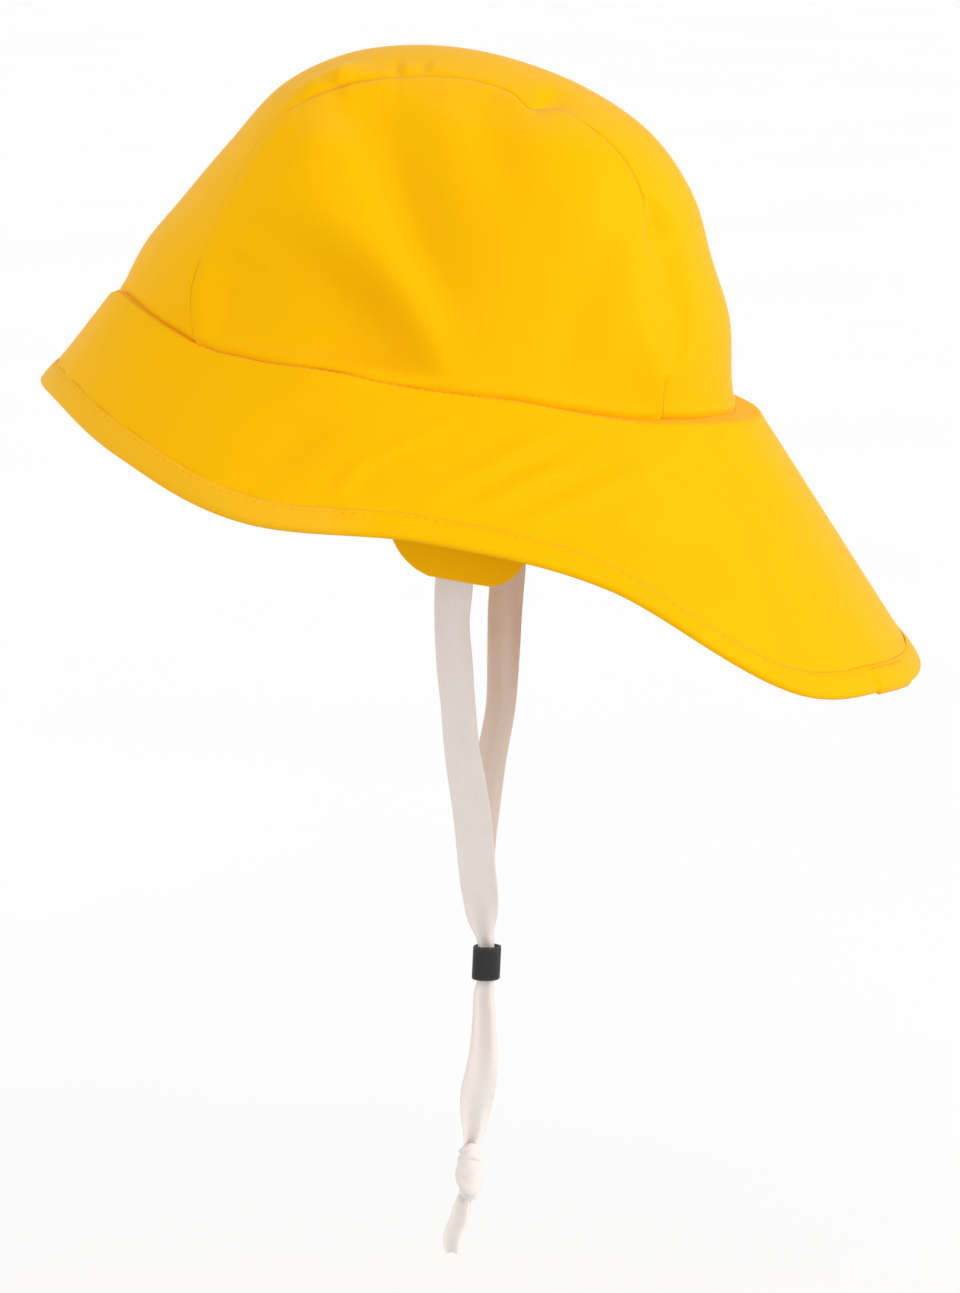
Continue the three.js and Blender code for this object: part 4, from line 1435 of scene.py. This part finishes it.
def bean(places, ahead, up, sections=6, sides=6):
    """Beans at the places: stations along the stitch times a ring. The radius follows the root of 1 - share
    squared, and the ends dip into the cloth by the fourth power of the share."""
    share = np.sin(np.linspace(-np.pi / 2, np.pi / 2, sections) * last_ring)
    turn = full_turn(sides)
    radius = stitch_radius * np.sqrt(1 - share**2)
    side = np.cross(ahead, up)
    stem = share * stitch_length / 2
    dip = -stitch_dip * share**4
    cosine, sine = np.cos(turn)[:, None], np.sin(turn)[:, None]
    ring = radius[:, None, None] * (cosine * side[:, None, None] + sine * up[:, None, None])
    axis = stem[:, None] * ahead[:, None] + dip[:, None] * up[:, None]
    return places[:, None, None] + axis[:, :, None] + ring


def stitch_line(lift):
    """Stitches round the binding, on the face given by the lift off the brim."""
    turn = full_turn(2400)
    reach = length_at(from_front(turn)) - binding_width + stitch_inset
    outwards = np.sign(lift)
    lift = lift + binding_lap * lap_share(turn) * outwards
    path = tipped(brim_point(turn, reach, lift))
    off_path = tipped(brim_point(turn, reach, lift + small_step * outwards)) - path
    run, places = even_places(path, stitch_pitch)

    def along(line, stations):
        closed = np.concatenate([line, line[:1]])
        return np.stack([np.interp(stations % run[-1], run, column) for column in closed.T], -1)

    at, up = along(path, places), unit(along(off_path, places))
    ahead = unit(along(path, places + small_step) - at)
    up = unit(up - ahead * np.sum(up * ahead, -1, keepdims=True))
    return bean(at, ahead, up)


def bean_parts(beans):
    """Faces of many beans: rings joined along each bean, its two ends shut by two four-sided faces each."""
    count, sections, sides = beans.shape[:3]
    index = np.arange(sections * sides).reshape(sections, sides)
    body = cell_corners(np.concatenate([index, index[:, :1]], 1))
    first, last = index[0], index[-1]
    caps = np.array([[first[0], first[1], first[2], first[3]], [first[0], first[3], first[4], first[5]],
                     [last[3], last[2], last[1], last[0]], [last[5], last[4], last[3], last[0]]])
    one = np.concatenate([body, caps])
    faces = (one[None] + (np.arange(count) * sections * sides)[:, None, None]).reshape(-1, 4)
    lengthwise = np.repeat(np.linspace(0, stitch_length, sections), sides)
    roundwise = np.tile(np.arange(sides) * 2 * np.pi * stitch_radius / sides, sections)
    uv = np.tile(np.stack([lengthwise, roundwise], -1)[one], (count, 1, 1))
    return faced_out(beans.reshape(-1, 3), faces, uv)


upper_line, lower_line = stitch_line(stitch_lift), stitch_line(-brim_wall - stitch_lift)
stitch_parts = joined([bean_parts(upper_line), bean_parts(lower_line)])
stitches = make_mesh("binding_stitches", stitch_parts, yellow_thread)
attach(stitches, "root")
print("stitches", len(upper_line) + len(lower_line))

# %% [markdown]
# ## Ear flaps
#
# A flap hangs plumb from the base seam inside the brim, wide above and narrow below, where its
# tape is sewn on. Its outline is a table of drop and half width.

# %% Ear flaps
flap_drop = 63.3 * mm
flap_half_width = 45 * mm
flap_middle = np.radians(102)
flap_lean = 9 * mm
flap_wall = 1.5 * mm
flap_edges = (flap_wall / 2,) * 4
flap_mean_width = 70 * mm
between_flaps = (0, 0.02, -0.03)
flap_line = table("drop half", [
    [0, 1],
    [0.3, 0.86],
    [0.6, 0.7],
    [0.76, 0.59],
    [0.85, 0.53],
    [0.9, 0.485],
    [0.95, 0.41],
    [0.98, 0.34],
    [1, 0.25],
])
flap_half_at = through(flap_line["drop"], flap_line["half"] * flap_half_width)


def flap_face(step=1.2 * mm):
    """Flap: at a share down it, a level row across its width, bent round the head, that leans in by the
    square of the share. Slow sines make it hang a little uneven."""
    share = spaced(flap_drop, step, *flap_edges[2:])[None, :]
    across = (2 * spaced(flap_mean_width, step, *flap_edges[:2]) - 1)[:, None]
    share, across = np.broadcast_arrays(share, across)
    sideways = flap_half_at(share) * across
    turn = flap_middle + sideways / seat_half_length
    hang = 0.7 * mm * np.sin(sideways / (11 * mm) + 0.8) * share
    hang = hang + 0.3 * mm * np.sin(sideways / (5 * mm) + 6 * share)
    inside = -crown_wall - seam_gap - flap_lean * share**2 + hang
    drop = seam_gap + share * flap_drop
    point = seat_point(turn) + seat_out(turn) * inside[..., None]
    return point + points_at(0, np.sin(hat_tip) * drop, -np.cos(hat_tip) * drop)


flap_parts = shell_parts(tipped(flap_face()), flap_wall, flap_edges, between_flaps)
left_flap = cloth_piece("ear_flap_left", flap_parts)
right_flap = cloth_piece("ear_flap_right", mirrored(flap_parts))

def cloth_area(piece):
    """Half the surface of a closed sheet, which is the area of its cloth."""
    areas = np.empty(len(piece.data.polygons))
    piece.data.polygons.foreach_get("area", areas)
    return float(areas.sum() / 2)


flat = (2 * flap_half_width, flap_drop)
for piece, carrier in ((left_flap, "crown_side_left"), (right_flap, "crown_side_right")):
    cloth_area(piece)
    print(piece.name, "cut", [round(side / mm) for side in flat], "mm, area", round(cloth_area(piece), 4))

# %% [markdown]
# ## Light and floor
#
# The light is that of a plain studio: a pale surround that gives most of it and fills every shadow,
# a broad soft lamp from the neck's side, and weak ones from the camera, below, the front and behind
# the front. A sun lamp with a wide angle is as soft as a big lamp close by, and lights the floor
# evenly. The floor is seen, but neither sends light up nor stops any: all of it is in the surround
# and the lamps.

# %% Light and floor
world = bpy.data.worlds.new("studio")
world.use_nodes = True
surround = world.node_tree.nodes["Background"]
surround.inputs["Color"].default_value = (1, 1, 1, 1)
surround.inputs["Strength"].default_value = 0.715
bpy.context.scene.world = world
bpy.context.scene.view_settings.view_transform = "Standard"

lamps = table("right up back share angle", [
    [0.2, 0.2, 0.95, 0.21, 50],
    [0.9, 0.3, 0.3, 0.52, 50],
    [0.0, -0.9, 0.45, 0.08, 50],
    [-0.9, 0.2, 0.35, 0.14, 50],
    [-0.8, 0.3, -0.6, 0.18, 50],
])
for number, (right, up, back, share, angle) in enumerate(rows_of(lamps)):
    lamp_data = bpy.data.lights.new(f"lamp_{number}", "SUN")
    lamp_data.energy = share * np.pi
    lamp_data.angle = np.radians(angle)
    lamp = bpy.data.objects.new(f"lamp_{number}", lamp_data)
    bpy.context.scene.collection.objects.link(lamp)
    spot = right * view_right + up * view_up + back * view_back
    lamp.location = spot * 2
    lamp.rotation_euler = Vector(spot).to_track_quat("Z", "Y").to_euler()

floor_drop = -420 * mm
floor_half = 40.0
floor_paint = Finish("pale_floor", Roughness=0.9)
floor_tone = floor_paint.noise(floor_paint.place(), 3, detail=2)
floor_dark, floor_light = (0.93, 0.93, 0.93, 1), (0.96, 0.96, 0.96, 1)
floor_paint.feed("Base Color", floor_paint.mix(floor_tone, floor_dark, floor_light))
floor_plan = np.array([[-1, -1], [1, -1], [1, 1], [-1, 1]]) * floor_half
floor_points = points_at(floor_plan[:, 0], floor_plan[:, 1], floor_drop)
floor = make_mesh("floor", (floor_points, np.array([[0, 1, 2, 3]]), [0], floor_plan), floor_paint.material)
floor.visible_diffuse = False
floor.visible_shadow = False
print("lamps", len(lamps["share"]))
